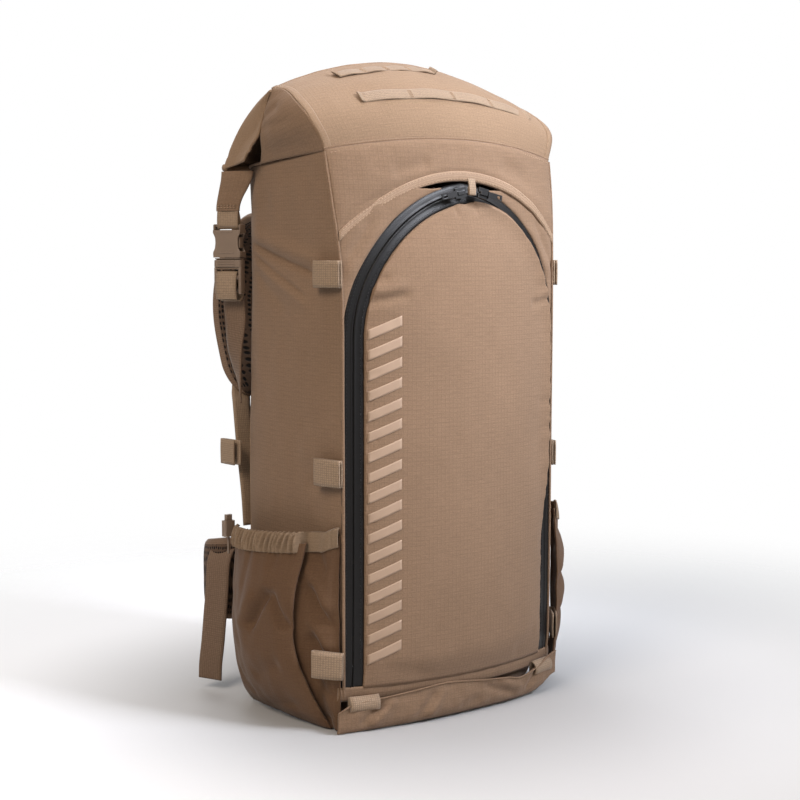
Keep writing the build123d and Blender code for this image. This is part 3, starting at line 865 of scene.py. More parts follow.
def makeFlap():
    bm = bmesh.new()
    clothGrid(bm, 170, 60, flapPlace, lambda u, w: (345 * u, 152 * w))
    faceOut(bm, (0, 0.6, 0.8))
    piece = keepPiece(bm, "rollFlap", topNylon, None, ["roll_flap"], [wall(2.2)])
    sewnSheet(flapPlace)
    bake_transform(piece)
    # a rolled hem round the stiffener
    bm = bmesh.new()

    def hem(w):
        s = 2 * w - 1
        y, z = arcThrough(*[Vector(p) for p in ((-6, 600), (62 - 11 * s * s, 595 - 24 * s * s),
                                                (102 - 14 * s * s, 530 - 2 * s * s))], 0.985)
        return (146.5 * s, y - 3.2, z + 0.2)
    tube(bm, hem, 3.6, 80, 12)
    bmesh.ops.holes_fill(bm, edges=bm.edges, sides=16)
    bmesh.ops.recalc_face_normals(bm, faces=bm.faces)
    keepPiece(bm, "rollHem", topNylon, "flap")
    bm = bmesh.new()
    tube(bm, lambda w: Vector(hem(mix(0.03, 0.97, w))), 1.8, 60, 12)
    bmesh.ops.holes_fill(bm, edges=bm.edges, sides=16)
    bmesh.ops.recalc_face_normals(bm, faces=bm.faces)
    keepPiece(bm, "rollStiffener", sheetBlack, "flap", ["roll_stiffener"])


def strapLine(points):
    # a smooth line through points, each given as (x, y, z)
    stops = [(i, p) for i, p in enumerate(points)]
    last = len(points) - 1
    return lambda w: Vector(through(stops, w * last))


webCrown = 0.25


def strap(bm, points, width, across, rows=40):
    # flat webbing along a line; across is the direction of its width, or a list of one for each point
    line = strapLine(points)
    fixed = Vector(across).normalized() if not isinstance(across[0], (list, tuple)) else None
    stops = None if fixed else [(i, a) for i, a in enumerate(across)]
    length = sum((line((i + 1) / rows) - line(i / rows)).length for i in range(rows))

    def place(u, w):
        a, b = line(max(0.0, w - 0.004)), line(min(1.0, w + 0.004))
        way = (b - a).normalized()
        wide = fixed if fixed else Vector(through(stops, w * (len(points) - 1))).normalized()
        wide = (wide - way * wide.dot(way)).normalized()
        normal = way.cross(wide)
        s = 2 * u - 1
        return line(w) + wide * s * width / 2 + normal * webCrown * (1 - s * s)
    return clothGrid(bm, 6, rows, place, lambda u, w: (width * u, length * w))


def stitchRow(bm, points, lift, size=(2.3, 0.6), gap=1.4, rise=0.3):
    # thread stitches along a line of points, standing proud along lift
    points = [Vector(p) for p in points]
    run = [0.0]
    for a, b in zip(points, points[1:]):
        run.append(run[-1] + (b - a).length)
    lift = Vector(lift)
    count = max(1, int(run[-1] / (size[0] + gap)))
    i = 0
    for k in range(count):
        at = (k + 0.5) / count * run[-1]
        while i < len(points) - 2 and run[i + 1] < at:
            i += 1
        t = (at - run[i]) / (run[i + 1] - run[i])
        middle = points[i].lerp(points[i + 1], t)
        way = (points[i + 1] - points[i]).normalized()
        up = (lift - way * lift.dot(way)).normalized()
        side = way.cross(up)
        made = bmesh.ops.create_cube(bm, size=1.0)["verts"]
        for v in made:
            c = v.co.copy()
            end = 0.72 if c.z > 0 else 1.0
            across = way * c.x * size[0] * end + side * c.y * size[1] * end
            v.co = (middle + across + up * (c.z * 2 * rise)) * mm


def keepStitches(bm, name, body, material=None):
    bmesh.ops.recalc_face_normals(bm, faces=bm.faces)
    keepPiece(bm, name, material or stitchThread, body)


def makeFrontStitching():
    bm = bmesh.new()
    for rise in (-1.2, 4.6):
        line = []
        for i in range(121):
            u = mix(0.01, 0.99, i / 120)
            p = bindingPlace(u, (rise + bindingSet["down"]) / (bindingSet["up"] + bindingSet["down"]))
            line.append((p[0], p[1] - 0.1, p[2]))
        stitchRow(bm, line, (0, -1, 0))
    line = []
    for i in range(121):
        s = mix(-0.97, 0.97, i / 120)
        z = seamLine(s * 139) - 4.5
        line.append(frontSkin(s * bodyAt(z)[0], z, 2.4))
    stitchRow(bm, line, (0, -1, 0))
    keepStitches(bm, "hoodStitching", "pack")
    for name, body, radii, lift in (("zipStitching", "pack", (144.7, 142.9), 0.15),
                                    ("doorStitching", "door", (130.4,), 0.45)):
        bm = bmesh.new()
        for radius in radii:
            line = []
            for k in range(161):
                x, z = archPath(radius, mix(0.02, 0.98, k / 160))
                line.append(frontSkin(x, z, lift))
            stitchRow(bm, line, (0, -1, 0.1), size=(2.0, 0.5), rise=0.22)
        keepStitches(bm, name, body, zipNylon)


lashRows = {"front": {"along": 0.42, "from": -93, "to": 121}, "rear": {"along": 0.80, "from": -93, "to": 22}}
lashSet = {"width": 12.5, "tacks": 5, "lift": 1.2, "loop": 1.0}


def topSurface(x, along):
    # a point on the sloped top, and the directions down the slope and out of it
    share = x / 142
    y, z = arcThrough(*topLine(share), along)
    y2, z2 = arcThrough(*topLine(share), along + 0.01)
    way = Vector((0, y2 - y, z2 - z)).normalized()
    return Vector((x, y, z)), way, Vector((0, -way.z, way.y))


def makeLash():
    bm, thread = bmesh.new(), bmesh.new()
    for row in lashRows.values():
        x0, x1 = row["from"], row["to"]

        def place(u, w):
            x = mix(x0, x1, w)
            at, way, out = topSurface(x, row["along"])
            humps = 0.5 - 0.5 * math.cos(2 * math.pi * w * (lashSet["tacks"] - 1))
            lift = lashSet["lift"] + lashSet["loop"] * humps
            lift += 3.4 * soft((w - 0.985) / 0.015) + 2.2 * soft((0.03 - w) / 0.03)
            s = 2 * u - 1
            return at + way * (s * lashSet["width"] / 2) + out * (lift + 0.3 * (1 - s * s))
        clothGrid(bm, 6, 120, place, lambda u, w: (12 * u, (x1 - x0) * w))
        for k in range(lashSet["tacks"]):
            x = mix(x0 + 5, x1 - 5, k / (lashSet["tacks"] - 1))
            for dx in (-1.4, 0.0, 1.4):
                at, way, out = topSurface(x + dx, row["along"])
                half = lashSet["width"] / 2 - 1.0
                middle = at + out * (lashSet["lift"] + 0.45)
                stitchRow(thread, [middle - way * half, middle + way * half], out, size=(2.0, 0.7), gap=0.4)
    faceOut(bm, (0, -0.6, 0.8))
    keepPiece(bm, "lashWebbing", webbingTan, "pack", ["lash_webbing"], [wall(1.2)])
    keepStitches(thread, "lashTacks", "pack")


hangSet = {"at": (-142.0, 83.0), "height": 442, "turn": 112}


def hangAt(u, v, z):
    # the roll buckle's own frame: u along its width, v outward, z up from the socket's mouth
    turn = math.radians(hangSet["turn"])
    x, y = hangSet["at"]
    return Vector((x + u * math.cos(turn) - v * math.sin(turn), y + u * math.sin(turn) + v * math.cos(turn),
                   hangSet["height"] + z))


def block(bm, low, high, frame, radius):
    # a box with rounded edges between two corners, placed by frame
    made = bmesh.ops.create_cube(bm, size=1.0)["verts"]
    low, high = Vector(low), Vector(high)
    for v in made:
        v.co = low + Vector(((v.co.x + 0.5) * (high.x - low.x), (v.co.y + 0.5) * (high.y - low.y),
                             (v.co.z + 0.5) * (high.z - low.z)))
    edges = list({e for v in made for e in v.link_edges})
    out = bmesh.ops.bevel(bm, geom=edges, offset=radius, segments=3, profile=0.5, affect="EDGES", material=-1)
    made = {v for f in out["faces"] for v in f.verts}
    made = {v for f in {f for v in made for f in v.link_faces} for v in f.verts}
    for v in made:
        v.co = frame(*v.co) * mm


def bar(bm, start, end, radius, frame):
    # a round bar between two points
    start, end = Vector(start), Vector(end)
    way = end - start
    turn = way.to_track_quat("Z", "Y").to_matrix()
    made = bmesh.ops.create_cone(bm, cap_ends=True, segments=20, radius1=radius, radius2=radius,
                                 depth=way.length)
    for v in made["verts"]:
        v.co = frame(*((start + end) / 2 + turn @ v.co)) * mm


def shapedPlate(bm, outline, v0, v1, frame, rounding=0.7):
    # a plate with a curved outline, given as stops of (height, half width), between two depths
    rows, cols = 28, 16
    low, high = outline[0][0], outline[-1][0]

    def place(u, w):
        # one closed sheet: front face, over the top edge, back face
        turn = 2 * math.pi * u
        s, t = math.cos(turn), math.sin(turn)
        s = math.copysign(abs(s) ** 0.30, s)
        t = math.copysign(abs(t) ** 0.55, t)
        z = mix(low, high, w)
        half = through(outline, z)[0]
        end = min(z - low, high - z)
        shrink = 1 - math.sqrt(max(0.0, 1 - min(1.0, end / rounding) ** 2)) if end < rounding else 0.0
        depth = (v1 - v0) / 2 * (1 - 0.9 * shrink)
        return frame((half - rounding * shrink) * s, (v0 + v1) / 2 + depth * t, z)
    made = clothGrid(bm, cols * 2, rows, place, lambda u, w: (30 * u, 30 * w))
    bmesh.ops.remove_doubles(bm, verts=made, dist=0.00002)


buckleSet = {"web": 25.0, "thick": 11.0, "waist": 13.6, "shoulder": 16.5, "mouth": 16.2}


def makeRollBuckles():
    half = buckleSet["web"] / 2
    bm = bmesh.new()
    outline = [(0, (buckleSet["mouth"],)), (5, (16.4,)), (9, (14.4,)), (15, (buckleSet["waist"],)),
               (20, (14.2,)), (24.5, (buckleSet["shoulder"],)), (27, (16.4,))]
    shapedPlate(bm, outline, 3.2, 5.5, hangAt)
    shapedPlate(bm, outline, -5.5, -3.2, hangAt)
    for side in (-1, 1):
        a, b = sorted((side * (half + 1.8), side * 16.4))
        block(bm, (a, -4.6, 0.3), (b, 4.6, 6.2), hangAt, 0.9)
        block(bm, (a, -4.9, 23.0), (b, 4.9, 32.8), hangAt, 1.2)
    block(bm, (-14, -3.4, 22.6), (14, 3.4, 26.6), hangAt, 0.6)
    bar(bm, (-15.5, 0, 31.3), (15.5, 0, 31.3), 1.7, hangAt)
    bar(bm, (-15.5, 1.8, 30.6), (15.5, 1.8, 30.6), 1.0, hangAt)
    # a raised rib and a shallow step on the face
    block(bm, (-9, 5.1, 4.0), (9, 5.9, 5.6), hangAt, 0.35)
    block(bm, (-7.5, 5.1, 24.2), (7.5, 5.9, 25.6), hangAt, 0.35)
    mirrorAll(bm)
    bmesh.ops.recalc_face_normals(bm, faces=bm.faces)
    keepPiece(bm, "rollSockets", acetalBrown, "flap", ["roll_buckle_sockets"])
    for name, side in (("left", -1), ("right", 1)):
        bm = bmesh.new()
        body = [(-11.5, (15.6,)), (-9, (16.5,)), (-3, (16.5,)), (-0.6, (15.8,))]
        shapedPlate(bm, body, -5.3, 5.3, hangAt, 1.6)
        block(bm, (-2.2, -2.9, -1), (2.2, 2.9, 16), hangAt, 0.7)
        for s in (-1, 1):
            a, b = sorted((s * (half + 0.2), s * 16.4))
            block(bm, (a, -3.6, -36), (b, 4.2, -9), hangAt, 1.5)
        bar(bm, (-14, 2.4, -19.5), (14, 2.4, -19.5), 2.2, hangAt)
        bar(bm, (-14, -2.2, -31.5), (14, -2.2, -31.5), 3.0, hangAt)
        for k in (-1, 0, 1):
            block(bm, (-10, 4.9, -6.6 + 2.4 * k), (10, 5.8, -5.4 + 2.4 * k), hangAt, 0.3)
        toSide(bm, side)
        bmesh.ops.recalc_face_normals(bm, faces=bm.faces)
        keepPiece(bm, "rollPlug" + name.capitalize(), acetalBrown, "plug_" + name,
                  ["roll_buckle_plug_" + name])
        for where, s in (("front", -1), ("back", 1)):
            bm = bmesh.new()
            a, b = sorted((s * (half - 4.6), s * (half - 2.2)))
            block(bm, (a, -2.8, 0.2), (b, 2.8, 13), hangAt, 0.6)
            a, b = sorted((s * (half - 2.7), s * (half + 2.1)))
            block(bm, (a, -2.9, 8.9), (b, 2.9, 20.2), hangAt, 1.1)
            toSide(bm, side)
            bmesh.ops.recalc_face_normals(bm, faces=bm.faces)
            keepPiece(bm, "rollProng" + where.capitalize() + name.capitalize(), acetalBrown,
                      "prong_" + where + "_" + name, ["roll_prong_" + where + "_" + name])


def makeRollStraps():
    # the flap's cloth end runs down to the buckle, tapers, and ends in webbing round the socket's bar
    bm, web, thread = bmesh.new(), bmesh.new(), bmesh.new()

    def cloth(u, w):
        s = 2 * u - 1
        z = mix(84, 45.5, w)
        width = mix(19.0, 13.6, soft(w))
        shift = mix(-14, 0, soft(w * 1.02))
        puff = 2.6 * (1 - s * s) * (1 - w) + 0.8 * (1 - s * s)
        v = mix(5.0, 2.6, soft(w)) + puff + 0.7 * wrinkle(s * 18, z, 12, 4.0)
        return hangAt(shift + s * width, v, z)
    clothGrid(bm, 16, 30, cloth, lambda u, w: (32 * u, 40 * w))
    faceOut(bm, (-1, 0, 0))
    mirrorAll(bm)
    line = [hangAt(*p) for p in ((-1, 2.5, 56), (0, 2.7, 44), (0, 3.2, 36), (0, 2.6, 29.5), (0, 0.3, 27.6),
                                 (0, -2.6, 30), (0, -2.2, 37), (0, 0.4, 46))]
    strap(web, line, buckleSet["web"], hangAt(1, 0, 0) - hangAt(0, 0, 0), rows=60)
    faceOut(web, (-1, 0, 0))
    mirrorAll(web)
    for z in (49.0, 51.2):
        stitchRow(thread, [hangAt(-11.5, 4.6, z), hangAt(11.5, 4.6, z)], hangAt(0, 1, 0) - hangAt(0, 0, 0))
    mirrorAll(thread)
    keepPiece(bm, "rollStrapCloth", packNylon, "flap", [], [wall(2.0)])
    keepPiece(web, "rollStrapWebbing", webbingTan, "flap", ["roll_straps"], [wall(1.5)])
    keepStitches(thread, "rollStrapStitching", "flap")


def makeAnchorStraps():
    bm = bmesh.new()
    # the fixed strap comes up from the seam, behind the plug, and turns edge-on as it goes down
    line = [(-127, 88.5, 298), (-129, 88.8, 316), (-134, 88.5, 350), hangAt(-1, -7.2, -62),
            hangAt(0, -6.8, -46), hangAt(0, -6.5, -38)]
    across = [(0.55, 0.83, 0), (0.45, 0.89, 0), (0.0, 1.0, 0), (-0.34, 0.94, 0), (-0.3746, 0.9272, 0),
              (-0.3746, 0.9272, 0)]
    strap(bm, line, buckleSet["web"], across, rows=50)
    faceOut(bm, (-1, 0, 0))
    mirrorAll(bm)
    keepPiece(bm, "anchorStraps", webbingBrown, "pack", ["anchor_straps"], [wall(1.5)])
    for name, side in (("left", -1), ("right", 1)):
        wrap = bmesh.new()
        loop = [hangAt(0, v, z) for v, z in ((4.0, -41), (5.6, -33), (5.2, -22), (3.4, -15.2), (0.2, -17),
                                             (-1.0, -23), (-4.6, -27.5), (-5.9, -33), (-4.4, -38.5),
                                             (-1.0, -42))]
        strap(wrap, loop, buckleSet["web"] - 0.6, hangAt(1, 0, 0) - hangAt(0, 0, 0), rows=60)
        toSide(wrap, side)
        faceOut(wrap, (side, 0, 0))
        keepPiece(wrap, "plugWebbing" + name.capitalize(), webbingTan, "plug_" + name, [],
                  [wall(1.5)])


def makeTabs():
    bm, thread = bmesh.new(), bmesh.new()
    loops = [([(-132.6, -92, z), (-134.6, -80, z), (-136.4, -66, z), (-137.6, -60.5, z), (-139.6, -59.2, z),
               (-141.0, -62, z), (-140.0, -76, z), (-135.4, -92.5, z)], (0, 0, 1)) for z in (427, 244)]
    loops.append(([(-133.0, -94, 65), (-139.0, -86, 65.4), (-147.0, -74, 65.8), (-149.4, -70.6, 66),
                   (-151.8, -71.0, 66), (-152.4, -74.2, 65.8), (-145.0, -85, 65.4), (-135.6, -96, 65)],
                  (0, 0, 1)))
    loops.append(([(-131.6, 82, 247), (-133.0, 100, 247), (-134.0, 109, 247), (-135.6, 110.6, 247),
                   (-137.2, 109, 247), (-137.6, 98, 247), (-137.2, 85, 247)], (0, 0, 1)))
    for line, across in loops:
        strap(bm, line, 25.0, across, rows=60)
    for line, across in loops[:3]:
        end, back = Vector(line[-1]), Vector(line[-2])
        out = (Vector(line[-2]) - Vector(line[1])).normalized()
        for k in (0.18, 0.30):
            at = end.lerp(back, k) + out * 0.7
            up = Vector((0, 0, 11))
            stitchRow(thread, [at - up, at + up], out, size=(2.2, 0.7), gap=0.7)
    bmesh.ops.recalc_face_normals(bm, faces=bm.faces)
    mirrorAll(bm)
    mirrorAll(thread)
    keepPiece(bm, "sideTabs", webbingTan, "pack", ["side_tabs"], [wall(1.5, 0.0)])
    keepStitches(thread, "tabTacks", "pack")
    bm = bmesh.new()
    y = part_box("arch_tab")[0][1] * 1000
    line = [(0, y + 2.2, 516), (0, y + 0.6, 511), (0, y - 0.2, 505), (0, y, 501.5), (0, y + 1.2, 500.4),
            (0, y + 2.0, 502), (0, y + 2.4, 508)]
    strap(bm, line, 8.5, (1, 0, 0), rows=36)
    faceOut(bm, (0, -1, 0))
    keepPiece(bm, "archTab", webbingTan, "pack", ["arch_tab"], [wall(1.0)])


pocketSet = {"front": -84.0, "back": 81.0, "base": 132.5, "low": 1.5, "recess": 11.0, "bow": 0.62}
# how far the pocket stands out, and where its pleat lies, at each height
pocketStops = [(1, (4,)), (6, (11,)), (16, (21,)), (45, (36,)), (80, (43,)), (130, (42,)), (160, (36,)),
               (190, (28,))]
pleatStops = [(0, (-72,)), (40, (-60,)), (86, (-49,)), (130, (-51,)), (165, (-55,)), (200, (-57,))]


def pocketBow(y, z):
    span = (y - pocketSet["front"]) / (pocketSet["back"] - pocketSet["front"])
    bow = math.sin(math.pi * max(0.0, min(1.0, span))) ** pocketSet["bow"]
    return through(pocketStops, z)[0] * bow


def pocketTop(y):
    return 181.0 - 0.085 * (y + 84) + 5 * soft((-70 - y) / 20)


def pocketRearPlace(u, w):
    # from the back seam forward to the pleat, where the edge rolls under
    z = mix(pocketSet["low"], pocketTop(mix(80, -50, u)), w)
    fold0 = through(pleatStops, z)[0]
    k = min(1.0, u / 0.90)
    y = mix(pocketSet["back"] - 24 * (1 - soft(z / 60)), fold0, k)
    out = pocketBow(y, z)
    out += (2.2 * wrinkle(y, z, 40, 2.4) + 1.0 * wrinkle(y, z * 0.5, 14, 7.1)) * soft(k / 0.12)
    for start, end, width, deep in (
            ((-26, 132), (6, 86), 6, -8.5), ((-26, 132), (-46, 92), 5, -5.5), ((-6, 128), (24, 84), 8, 3.2),
            ((-40, 62), (10, 40), 9, -3.4),
            ((60, 120), (20, 60), 8, -1.8), ((-50, 24), (10, 10), 6, -2.0), ((60, 40), (20, 14), 7, -2.2),
            ((10, 170), (18, 120), 6, -1.8), ((-30, 168), (-24, 146), 5, -1.6),
            ((50, 168), (46, 120), 6, -1.5)):
        out += deep * fold(y, z, start, end, width)
    under = soft((u - 0.84) / 0.16)
    y -= 3.5 * math.sin(math.pi * under)
    y += 7.0 * under * under
    out -= 9.0 * under
    x = pocketSet["base"] + out
    return (-x, y, z)


def pocketFrontPlace(u, w):
    # the recessed half between the pleat and the front seam
    z = mix(pocketSet["low"], pocketTop(mix(-87, -46, u)), w)
    fold0 = through(pleatStops, z)[0]
    y = mix(-87.5, fold0 + 9, u)
    out = pocketBow(max(y, -83), z) - pocketSet["recess"] * soft((y + 84) / 22)
    for start, end, width, deep in (
            ((-84, 96), (-52, 140), 5, -5.0), ((-84, 112), (-54, 158), 6, 3.4),
            ((-84, 60), (-56, 92), 5, -4.2), ((-84, 78), (-58, 108), 5, 3.0), ((-84, 30), (-62, 52), 5, -2.0),
            ((-80, 150), (-56, 172), 5, -1.6), ((-82, 16), (-66, 8), 4, -1.5)):
        out += deep * fold(y, z, start, end, width)
    out += 0.9 * wrinkle(y, z, 13, 5.8)
    x = pocketSet["base"] + max(out, -2.0)
    x -= 2.6 * soft((-83 - y) / 4)
    return (-x, y, z)


hemSet = {"height": 19.0, "deep": 2.3}


def pocketHemPlace(u, w):
    # gathered lining band along the top: ruffled behind the pleat, flat in front of it
    y = mix(pocketSet["back"] - 1, -88.0, u)
    z = pocketTop(y) - hemSet["height"] * 0.55 + hemSet["height"] * w
    pleat = through(pleatStops, z)[0]
    rear = soft((y - pleat - 1) / 3)
    out = pocketBow(max(y, -83), min(z, 190)) - pocketSet["recess"] * soft((y + 84) / 22) * (1 - rear)
    phase = (y * 0.16 + 0.35 * wrinkle(y, z, 24, 1.0)) * math.pi
    ruffle = (math.sin(phase * 2.1) + 0.5 * math.sin(phase * 3.7 + z * 0.12)) * hemSet["deep"]
    out += rear * ruffle * (0.35 + 0.65 * math.sin(math.pi * min(1, w * 0.9 + 0.1)))
    out += 1.5 + 1.1 * math.sin(math.pi * w) ** 0.5 - 1.6 * soft((w - 0.94) / 0.06)
    z += rear * 0.9 * math.sin(phase * 2.1 + 0.8) * w
    x = pocketSet["base"] + out
    x -= 2.2 * soft((-84 - y) / 4)
    return (-x, y, z)


def makePockets():
    for name, side, bow, recess, low in (("Left", -1, 0.62, 11.0, 1.5), ("Right", 1, 0.26, -8.0, 12.0)):
        node = "side_pocket_" + name.lower()
        pocketSet["bow"], pocketSet["recess"], pocketSet["low"] = bow, recess, low
        for label, place, cols, rows, material, slotName, nodes in (
                ("pocketRear", pocketRearPlace, 90, 100, pocketNylonDarkAndShaded, "pack_cloth", [node]),
                ("pocketFront", pocketFrontPlace, 40, 90, pocketNylonDarkAndShaded, "pack_cloth", [node]),
                ("pocketHem", pocketHemPlace, 260, 16, liningNylon, "pack_cloth", [])):
            bm = bmesh.new()
            clothGrid(bm, cols, rows, place, lambda u, w: place(u, w)[1:])
            toSide(bm, side)
            faceOut(bm, (side, 0, 0))
            piece = keepPiece(bm, label + name, material, "pack", nodes, [wall(1.2)])
            gathered = "Hem" in label
            sewnSheet(place, 170 if gathered else 24)


def perimeter(u, z, inset=0.0):
    # a point round the base, u from the middle of the back
    pull = through([(0, (24,)), (4, (15.5,)), (12, (8,)), (30, (1,))], z)[0] + inset
    half, front, back = 129 - pull, -86 + pull, backY - pull
    turn = 2 * math.pi * u + math.pi / 2
    c, s = math.cos(turn), math.sin(turn)
    x = half * math.copysign(abs(c) ** 0.28, c)
    y = (front + back) / 2 + (back - front) / 2 * math.copysign(abs(s) ** 0.28, s)
    lean = soft((10 - y) / (10 - front))
    y -= 23 * (1 - (x / half) ** 2) * lean
    return x, y


def makeBase():
    bm = bmesh.new()

    def place(u, w):
        if w < 0.4:
            x, y = perimeter(u, 0.0)
            k = w / 0.4
            return (x * k, y * k, 0.6 + 0.5 * wrinkle(x * k, y * k, 40, 3.0) * (1 - k))
        z = mix(0.0, 31.0, (w - 0.4) / 0.6)
        x, y = perimeter(u, z, -0.4 * wrinkle(u * 90, z, 9, 2.0))
        return (x, y, z)
    made = clothGrid(bm, 220, 34, place, lambda u, w: (760 * u, 140 * w))
    bmesh.ops.remove_doubles(bm, verts=made, dist=0.00002)
    bmesh.ops.recalc_face_normals(bm, faces=bm.faces)
    keepPiece(bm, "baseTray", packNylon, "pack", ["base_panel"], [wall(1.6)])
    bm = bmesh.new()

    def sill(u, w):
        x = mix(-133.5, 133.5, u)
        z = mix(29, 43, w)
        return frontSkin(x, z, 0.4 + 1.1 * math.sin(math.pi * w) ** 0.6 + 0.4 * wrinkle(x, z, 18, 1.0))
    clothGrid(bm, 80, 8, sill, lambda u, w: (267 * u, 14 * w))
    faceOut(bm, (0, -1, 0))
    keepPiece(bm, "doorSill", packNylon, "pack", ["door_sill"], [wall(1.2)])


apronTop = [(-140, (20,)), (-124, (28,)), (-82, (32,)), (-27, (36,)), (20, (31.5,)), (53, (28,)), (77, (24,)),
            (102, (29,)), (124, (36,)), (140, (39,))]


def apronPlace(u, w):
    x = mix(-138, 138, u)
    z = mix(0.8 + 15 * soft((x - 60) / 78) ** 2, through(apronTop, x)[0], w)
    o = through([(0, (3.0,)), (5, (11.0,)), (14, (14.5,)), (40, (12.5,))], z)[0]
    s = x / 126
    y = -(101 + o) + (9 + o * 0.66) * s * s
    out = 1.4 * wrinkle(x, z, 26, 6.6) + 0.6 * wrinkle(x, z, 9, 2.1)
    for start, end, width, deep in (
            ((-118, 6), (-92, 28), 4, -3.0), ((-108, 4), (-80, 30), 5, 2.0), ((-60, 4), (-36, 30), 5, -2.4),
            ((-48, 4), (-24, 34), 5, 1.8), ((20, 26), (70, 8), 4, -2.6), ((40, 28), (80, 14), 4, 1.8),
            ((84, 8), (104, 26), 4, -2.4), ((-10, 10), (20, 14), 5, -1.6)):
        out += deep * fold(x, z, start, end, width)
    out += 0.8 * math.exp(-((1 - w) / 0.07) ** 2)
    out *= soft(z / 6)
    return (x, y - out, z)


def makeApron():
    bm = bmesh.new()
    clothGrid(bm, 150, 30, apronPlace, lambda u, w: apronPlace(u, w)[::2])
    faceOut(bm, (0, -1, 0))
    piece = keepPiece(bm, "baseApron", packNylon, "pack", ["base_apron"], [wall(1.4)])
    sewnSheet(apronPlace)
    bm = bmesh.new()
    line = lambda w: Vector(apronPlace(mix(0.01, 0.99, w), 1.0)) + Vector((0, -0.3, 0))
    tube(bm, line, 0.8, 140)
    bmesh.ops.recalc_face_normals(bm, faces=bm.faces)
    keepPiece(bm, "apronRoll", packNylon, "pack")
    bm = bmesh.new()
    for side in (-1, 1):
        turn = math.radians(14 * side)
        wide = Vector((math.cos(turn), math.sin(turn), 0))
        out = Vector((math.sin(turn), -math.cos(turn), 0))
        at = Vector((side * 112, -97.5, 0))
        line = [at + out * a + Vector((0, 0, z)) for a, z in
                ((-2.2, 34), (-2.6, 29), (-2.2, 23.5), (0.2, 21.4), (3.4, 22.4), (4.6, 26), (3.4, 31),
                 (-0.4, 34.5))]
        strap(bm, line, 30.0, wide, rows=44)
    bmesh.ops.recalc_face_normals(bm, faces=bm.faces)
    keepPiece(bm, "baseLoops", webbingTan, "pack", ["base_loops"], [wall(1.5, 0.0)])


def backPlace(u, w):
    z = mix(29, 525, w)
    half = bodyAt(z)[3] - cornerPull(z) + 0.6
    x = mix(-half, half, u)
    edge = (1 - math.exp(-u / 0.02)) * (1 - math.exp(-(1 - u) / 0.02)) * (1 - math.exp(-(1 - w) / 0.02))
    y = backY - 1.0 + 1.4 * edge + 0.8 * wrinkle(x, z, 60, 9.0) * edge + 0.4 * wrinkle(x, z, 20, 2.0) * edge
    return (x, y, z)


def makeBack():
    bm = bmesh.new()
    clothGrid(bm, 90, 140, backPlace, lambda u, w: backPlace(u, w)[::2])
    faceOut(bm, (0, 1, 0))
    piece = keepPiece(bm, "backPanel", packNylon, "pack", ["back_panel"], [wall(1.6)])
    sewnSheet(backPlace)
    bm = bmesh.new()
    for u in (0.0, 1.0):
        tube(bm, lambda w: Vector(backPlace(u, mix(0.01, 0.99, w))) + Vector((0, 0.4, 0)), 1.6, 90)
    tube(bm, lambda w: Vector(backPlace(w, 1.0)) - Vector((0, 0.2, 0)), 2.0, 60)
    bmesh.ops.recalc_face_normals(bm, faces=bm.faces)
    keepPiece(bm, "backWelts", bindingTan, "pack")


def cushion(bm, centre, wide, tall, out, half, thick, round_, channels=(), cols=60, rows=120):
    # a flat pad with rounded corners, pinched along its channels; it is a closed shape
    centre, wide, tall, out = Vector(centre), Vector(wide), Vector(tall), Vector(out)

    def place(side):
        def inner(u, w):
            a, b = 2 * u - 1, 2 * w - 1
            a, b = math.sin(a * math.pi / 2), math.sin(b * math.pi / 2)
            x, z = a * half[0], b * half[1]
            dx, dz = max(0.0, abs(x) - (half[0] - round_)), max(0.0, abs(z) - (half[1] - round_))
            if dx and dz:
                reach = max(dx, dz) / math.hypot(dx, dz)
                x = math.copysign(half[0] - round_ + dx * reach, x)
                z = math.copysign(half[1] - round_ + dz * reach, z)
                dx, dz = dx * reach, dz * reach
            inset = round_ - math.hypot(dx, dz) if dx and dz else min(half[0] - abs(x), half[1] - abs(z))
            puff = (1 - math.exp(-max(0.0, inset) / 5.0)) ** 0.7
            if side > 0:
                for z0 in channels:
                    puff *= 1 - 0.45 * math.exp(-((z - z0) / 4.0) ** 2)
                puff *= 1 + 0.05 * wrinkle(x, z, 30, 4.0)
            depth = thick * puff if side > 0 else 0.0
            return centre + wide * x + tall * z + out * depth
        return inner
    front = clothGrid(bm, cols, rows, place(1), lambda u, w: (2 * half[0] * u, 2 * half[1] * w), 0)
    rear = clothGrid(bm, cols, rows, place(-1), lambda u, w: (2 * half[0] * u, 2 * half[1] * w), 1)
    bmesh.ops.remove_doubles(bm, verts=front + rear, dist=0.00003)
    bmesh.ops.recalc_face_normals(bm, faces=bm.faces)


def makePads():
    for name, side in (("Left", -1), ("Right", 1)):
        bm = bmesh.new()
        cushion(bm, (side * 60, backY + 0.6, 302.5), (1, 0, 0), (0, 0, 1), (0, 1, 0), (42, 152.5), 12.2, 18,
                (-76, 0, 76))
        piece = keepPiece(bm, "backPad" + name, [meshBrown, packNylon], "pack", ["back_pads"])
        bm = bmesh.new()
        edge = roundedLine(side * 60, 302.5, 42, 152.5, 18)
        tube(bm, lambda w: edge(w, backY + 2.2), 1.8, 200)
        bmesh.ops.recalc_face_normals(bm, faces=bm.faces)
        keepPiece(bm, "backPadBinding" + name, bindingTan, "pack")
    bm = bmesh.new()
    cushion(bm, (0, backY + 0.6, 98), (1, 0, 0), (0, 0, 1), (0, 1, 0), (92, 42), 15.0, 16)
    piece = keepPiece(bm, "lumbarPad", [meshBrown, packNylon], "pack", ["lumbar_pad"])
    bm = bmesh.new()
    edge = roundedLine(0, 98, 92, 42, 16)
    tube(bm, lambda w: edge(w, backY + 2.4), 1.9, 200)
    bmesh.ops.recalc_face_normals(bm, faces=bm.faces)
    keepPiece(bm, "lumbarBinding", bindingTan, "pack")


